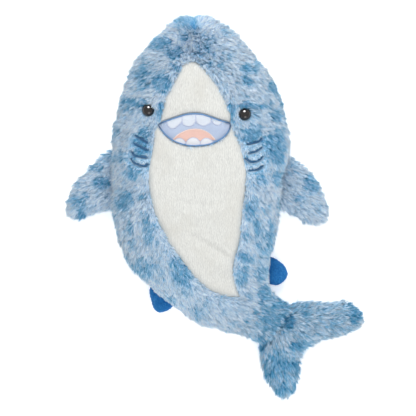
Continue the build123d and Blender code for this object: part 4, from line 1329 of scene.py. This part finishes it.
# Pelvic fins: smooth short plush.
PELVIC_L = [(-79.5, -101.7), (-80.8, -106.0), (-79.9, -113.0),
            (-78.2, -119.5), (-76.6, -125.4), (-73.6, -130.2),
            (-69.4, -132.7), (-65.0, -132.9), (-59.6, -131.0),
            (-54.6, -128.2), (-50.5, -123.7)]
PELVICS = {
    "left": (PELVIC_L, ((-79.5, -101.7), (-50.5, -123.7))),
    "right": (PELVIC_R, ((77.5, -64.5), (76.5, -98.0))),
}
for side, (outline, base) in PELVICS.items():
    loop = smooth_line(outline, 1.2)
    mid = (np.array(base[0]) + np.array(base[1])) / 2
    v, t, out = blade(f"{side}_pelvic", outline,
                      (outline[0], outline[-1]), 12.0, 9.5, 5.4, 6.0,
                      step=1.2, inset=-0.9, lumps=0.2, seed=61)
    v, t = stuffed(f"{side}_pelvic", v, t, out, mid - out * 3, 2.0, 60.0,
                   2.5, 1.0)
    n = vertex_normals(v, t)
    v = v + n * (0.22 * waves(v, 3.2, 63) + 0.15 * waves(v, 1.7, 64))[:, None]
    v[:, 2] = np.maximum(v[:, 2], 0.3)
    o = build(f"{side}_pelvic_fin_plush", v, tris=t)
    paint(o, ROYAL)
    s, e = mid - out * 7, mid + out * 4
    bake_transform(o)
    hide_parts(f"{side}_pelvic_fin_front_cover",
                f"{side}_pelvic_fin_back_cover",
                f"{side}_pelvic_fin_wadding")

# Dorsal fin, folded flat under the back.
v, t, out = blade("dorsal", DORSAL, (DORSAL[0], DORSAL[-1]), 0.5, 4.3, 3.0,
                  9.0, inset=1.0, lumps=0.0, seed=71)
v[:, 2] = np.maximum(v[:, 2], 1.0)
o = build("dorsal_fin_cloth", v, tris=t)
attribute(o, "dye", 0.35 + 0.3 * waves(v, 30.0, 72))
paint(o, CLOTH)
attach(o, "dorsal_fin")
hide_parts("dorsal_fin_left_cover", "dorsal_fin_right_cover",
            "dorsal_fin_wadding")
n = vertex_normals(v, t)
pick, bary = scatter(v, t, np.full(len(t), 0.8), 73)
root = interp(v, t, pick, bary)
nr = unit(interp(n, t, pick, bary))
flow = np.tile(unit(np.array([0.75, -0.6, 0.0])), (len(root), 1))
pts, rnd, tint, soft = comb(root, nr, flow, np.full(len(root), 3.4),
                      np.full(len(root), 0.9),
                      0.35 + 0.3 * waves(root, 30.0, 72), 74, 5.0, 0.4, 0.4)
pts[..., 2] = np.minimum(pts[..., 2], 8.4)
o = fibres("fur_dorsal_fin", pts, rnd, tint, soft)
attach(o, "dorsal_fin")


# ----------------------------------------------------------- white panels
# Folds across the white cloth: a line, its depth and its half width.
CREASES = [
    ([(-26.0, -37.0), (-14.0, -42.0), (2.0, -52.0), (22.0, -66.0)], 1.5, 4.0),
    ([(-8.0, -56.0), (2.0, -62.0), (8.0, -66.0)], 0.6, 2.6),
    ([(12.0, -46.0), (20.0, -54.0), (30.0, -60.0)], 1.0, 2.2),
    ([(-30.0, -24.0), (-12.0, -27.0), (6.0, -31.0)], 0.7, 2.6),
    ([(-34.0, 6.0), (-10.0, 2.0), (12.0, 4.0)], 0.45, 3.0),
    ([(-36.0, 46.0), (-20.0, 43.0), (-4.0, 45.0)], 0.4, 3.0),
    ([(-18.0, 148.0), (-8.0, 146.0), (2.0, 141.0)], 0.6, 2.2),
    ([(-44.0, 128.0), (-32.0, 131.0), (-20.0, 129.0)], 0.5, 2.6),
]


def raised(name, outline, step, lift, edge_drop, width, material,
           nodes, ribs=0.0, puff=0.0, thick=1.6, corner=42.0):
    loop = smooth_line(outline, max(step, 0.8), True, corner)
    v2, t = region(loop, step)
    d = np.maximum(signed(v2, loop), 0)
    z, _ = on_skin(v2)
    z = z + lift - edge_drop * np.exp(-d / width)
    z += puff * (1 - np.exp(-d / 14.0))
    for seg, depth, wide in CREASES:
        z -= depth * np.exp(-(line_distance(v2, seg) / wide) ** 2)
    z += 2.4 * np.exp(-((v2[:, 0] - 13.0) / 14.0) ** 2
                      - ((v2[:, 1] + 72.0) / 9.0) ** 2)
    z += 1.2 * np.exp(-((v2[:, 0] + 8.0) / 20.0) ** 2
                      - ((v2[:, 1] + 34.0) / 8.0) ** 2)
    if ribs:
        x = v2[:, 0] + 1.0 * waves(v2, 30.0, 81) + 0.3 * waves(v2, 7.0, 84)
        amp = 0.6 + 0.5 * waves(v2, 24.0, 85)
        z += ribs * amp * np.cos(2 * math.pi * x / 2.7) * (
            1 - np.exp(-d / 3.0))
        z += ribs * 0.9 * waves(v2, 3.6, 82)
        z += 0.14 * waves(v2, 15.0, 83)
    v = np.column_stack([v2, z])
    vv, tt, qq = thicken(v, t, thick)
    o = build(name, vv, tris=tt, quads=qq)
    # The edge value drives the painted seam shade along the rim of the white plush.
    attribute(o, "edge", np.tile(1 - np.exp(-d / 2.2), 2))
    paint(o, material)
    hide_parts(*nodes)
    return o, loop


snout_o, snout_loop = raised(
    "snout_plush", SNOUT, 1.05, 2.4, 3.0, 1.5, WHITE,
    ["snout_panel"], ribs=0.06, puff=1.0)
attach(snout_o, "torso")
belly_o, belly_loop = raised(
    "belly_plush", BELLY, 1.05, 2.2, 3.0, 1.5, WHITE,
    ["belly_panel"], ribs=0.06, puff=1.2)
tail_blend(belly_o, "wag")
mouth_o, mouth_loop = raised(
    "mouth_felt", MOUTH, 1.0, 2.3, 0.6, 1.5, LAVENDER,
    ["mouth_lining"])
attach(mouth_o, "torso")


def patches(name, outlines, step, lift, material, nodes, top=0.3):
    vs, ts_, at = [], [], 0
    loops = []
    for pts in outlines:
        loop = smooth_line(pts, step, True, 60.0)
        v2, t = region(loop, step)
        d = np.maximum(signed(v2, loop), 0)
        z, _ = on_skin(v2)
        z = z + lift + top * np.sqrt(np.clip(d / 1.3, 0, 1))
        vv, tt, qq = thicken(np.column_stack([v2, z]), t, 1.2)
        tt = np.vstack([tt, qq[:, [0, 1, 2]], qq[:, [0, 2, 3]]]) + at
        vs.append(vv)
        ts_.append(tt)
        at += len(vv)
        loops.append(loop)
    o = build(name, np.vstack(vs), tris=np.vstack(ts_))
    paint(o, material)
    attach(o, "torso")
    if nodes:
        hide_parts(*nodes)
    return o, loops


def threads(name, lines, radius, lift, material, nodes=(), closed=False,
            pitch=0.0, z_of=None):
    vs, tr, at = [], [], 0
    for line in lines:
        line = np.asarray(line, float)
        z, _ = on_skin(line)
        if pitch:
            s = np.concatenate([[0], np.cumsum(np.linalg.norm(
                np.diff(line, axis=0), axis=1))])
            r = radius * (1 + 0.12 * np.cos(2 * math.pi * s / pitch))
        else:
            r = np.full(len(line), radius)
        p = np.column_stack([line, z + lift])
        v, a, b = tube(p, r, 10, closed)
        t = np.vstack([a, b[:, [0, 1, 2]], b[:, [0, 2, 3]]]) + at
        vs.append(v)
        tr.append(t)
        at += len(v)
    o = build(name, np.vstack(vs), tris=np.vstack(tr))
    paint(o, material)
    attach(o, "torso")
    if nodes:
        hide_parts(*nodes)
    return o


# In cloth the tongue runs on behind the lower teeth, and these reach the
# outline.
TONGUE = [(-50.0, 83.2), (-47.0, 86.2), (-42.0, 90.2), (-33.0, 94.5),
          (-24.5, 95.9), (-15.5, 95.2), (-7.0, 91.6), (-1.5, 86.8),
          (1.8, 83.2), (-3.0, 82.0), (-10.0, 82.5), (-16.4, 79.2),
          (-25.0, 82.0), (-34.0, 79.0), (-42.0, 82.5), (-47.5, 82.2)]
LOW_TEETH = [
    [(-48.5, 82.3), (-46.0, 84.0), (-42.0, 85.0), (-38.5, 83.8),
     (-36.0, 81.4), (-34.1, 79.3), (-36.0, 78.3), (-40.5, 79.3),
     (-45.0, 80.9)],
    [(-34.0, 79.4), (-32.0, 82.2), (-29.0, 84.6), (-25.0, 85.6),
     (-21.0, 84.6), (-18.5, 82.4), (-16.4, 79.8), (-16.6, 77.3),
     (-24.5, 76.6), (-33.5, 77.2)],
    [(-16.2, 79.8), (-14.0, 83.0), (-10.0, 85.0), (-6.5, 84.6),
     (-3.0, 82.8), (-0.5, 80.6), (-4.5, 78.9), (-10.0, 77.5),
     (-16.0, 77.2)]]
tongue_o, tongue_loops = patches("tongue_stitch", [TONGUE], 0.8, 2.4, PEACH,
                                 ["tongue"])
top_x = [p[0] for p in MOUTH_TOP]
top_y = [p[1] for p in MOUTH_TOP]
grown = []
for pts in UP_TEETH:
    mid_x = sum(p[0] for p in pts) / len(pts)
    loop = []
    for x, y in pts:
        roof = float(np.interp(x, top_x, top_y)) - 0.6
        x += max(-0.75, min(0.75, (x - mid_x) * 0.2))
        loop.append((x, roof if y > roof - 4.6 else y - 0.1))
    grown.append(loop)
up_o, up_loops = patches("upper_teeth_stitch", grown, 0.8, 2.4, TOOTH,
                         ["upper_teeth"])
low_o, low_loops = patches("lower_teeth_stitch", LOW_TEETH, 0.7, 2.9, TOOTH_LOW,
                           ["lower_teeth"])
threads("upper_teeth_edging", up_loops, 0.42, 2.65, TOOTH_EDGE,
        closed=True)
threads("lower_teeth_edging", low_loops, 0.4, 3.1, TOOTH_EDGE,
        closed=True)
threads("tongue_edging", [smooth_line(TONGUE[:9], 0.8)], 0.8, 2.35,
        PEACH_EDGE)
outline_loop = smooth_line(MOUTH, 0.5, True)
outline_o = threads("mouth_outline_stitch", [outline_loop], 0.78, 2.9,
                    OUTLINE, ["mouth_outline"],
                    closed=True, pitch=1.5)
# Painted shade at both mouth corners, read by the outline material.
ends = np.minimum(
    np.hypot(outline_loop[:, 0] + 67.5, outline_loop[:, 1] - 101.0),
    np.hypot(outline_loop[:, 0] - 20.75, outline_loop[:, 1] - 101.5))
attribute(outline_o, "corner", np.repeat(np.exp(-(ends / 6.5) ** 2), 10))
for side in ("left", "right"):
    threads(f"{side}_gill_stitches", [smooth_line(g, 0.5, corner=75)
                                      for g in GILLS[side]], 1.35, 2.6, GILL,
            [f"{side}_gill_threads"], pitch=1.8)


# --------------------------------------------------------------------- eyes
for side, (ex, ey) in EYES.items():
    z, n = on_skin(np.array([[ex, ey], [ex - 12, ey], [ex + 12, ey],
                             [ex, ey - 12], [ex, ey + 12]]))
    dx = (z[2] - z[1]) / 24
    dy = (z[4] - z[3]) / 24
    nrm = unit(np.array([-dx, -dy, 1.0]))
    c = np.array([ex, ey, z[1:].mean() - 1.0])
    prof = [(0.0, 8.6)]
    for k in range(1, 13):
        a = k / 12 * math.radians(86)
        prof.append((7.8 * math.sin(a), 1.2 + 7.4 * math.cos(a)))
    prof += [(7.95, 1.2), (7.95, 0.0), (2.5, 0.0), (2.5, -6.0), (0.0, -6.0)]
    around = 48
    x = unit(np.cross(np.array([0.0, 1.0, 0.0]), nrm))
    y = np.cross(nrm, x)
    vs, tr = [c + nrm * prof[0][1]], []
    ring_of = []
    for r, h in prof[1:-1]:
        ring_of.append(len(vs))
        for k in range(around):
            a = k * 2 * math.pi / around
            vs.append(c + nrm * h + (x * math.cos(a) + y * math.sin(a)) * r)
    vs.append(c + nrm * prof[-1][1])
    last = len(vs) - 1
    for k in range(around):
        q = (k + 1) % around
        tr.append((0, ring_of[0] + k, ring_of[0] + q))
        for i in range(len(ring_of) - 1):
            a, b = ring_of[i], ring_of[i + 1]
            tr.append((a + k, b + k, b + q))
            tr.append((a + k, b + q, a + q))
        tr.append((last, ring_of[-1] + q, ring_of[-1] + k))
    o = build(f"{side}_eye_dome", np.array(vs), tris=np.array(tr))
    paint(o, EYE)
    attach(o, "torso")
    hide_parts(f"{side}_eye", f"{side}_eye_washer")


# ----------------------------------------------------- stage, light, camera
bpy.ops.mesh.primitive_plane_add(size=60.0, location=(0, 0, 0))
floor = bpy.context.object
floor.name = "studio_floor"
fm = Mat("studio_floor_paint", rough=0.9, spec=0.0)
fm.colour(fm.ramp(fm.noise(2.0), [(0.2, (0.90, 0.90, 0.90, 1)),
                                  (0.8, (0.93, 0.93, 0.93, 1))]))
fm.b.inputs["Emission Color"].default_value = (1, 1, 1, 1)
fm.b.inputs["Emission Strength"].default_value = 0.45
floor.data.materials.append(fm.m)

world = bpy.data.worlds.new("soft_studio")
bpy.context.scene.world = world
world.use_nodes = True
world.node_tree.nodes["Background"].inputs[0].default_value = (1, 1, 1, 1)
world.node_tree.nodes["Background"].inputs[1].default_value = 0.76


def area(name, loc, aim, size, power):
    data = bpy.data.lights.new(name, "AREA")
    data.shape = "DISK"
    data.size = size
    data.energy = power
    o = bpy.data.objects.new(name, data)
    bpy.context.scene.collection.objects.link(o)
    o.location = loc
    o.rotation_mode = "QUATERNION"
    o.rotation_quaternion = (Vector(aim) - Vector(loc)).to_track_quat(
        "-Z", "Y")
    return o


area("key_softbox", (-0.05, 2.1, 2.0), (0, 0.0, 0.05), 1.5, 38.0)
area("fill_softbox", (0.6, -2.6, 1.9), (0, 0, 0.04), 2.4, 30.0)
catch = area("catch_light", (-0.02, 0.62, 0.46), (-0.02, 0.117, 0.09), 0.36,
             8.5)
catch.visible_diffuse = False

cam = bpy.data.cameras.new("camera")
camera = bpy.data.objects.new("camera", cam)
bpy.context.scene.collection.objects.link(camera)
camera.location = (-0.0069, -0.00125, 4.0)
camera.rotation_euler = (0, 0, 0)
cam.sensor_width = 36.0
cam.lens = 273.8
cam.clip_start, cam.clip_end = 0.1, 100.0
bpy.context.scene.camera = camera
bpy.context.scene.view_settings.view_transform = "Standard"

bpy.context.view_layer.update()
for row in made_fur:
    print("fur", row)
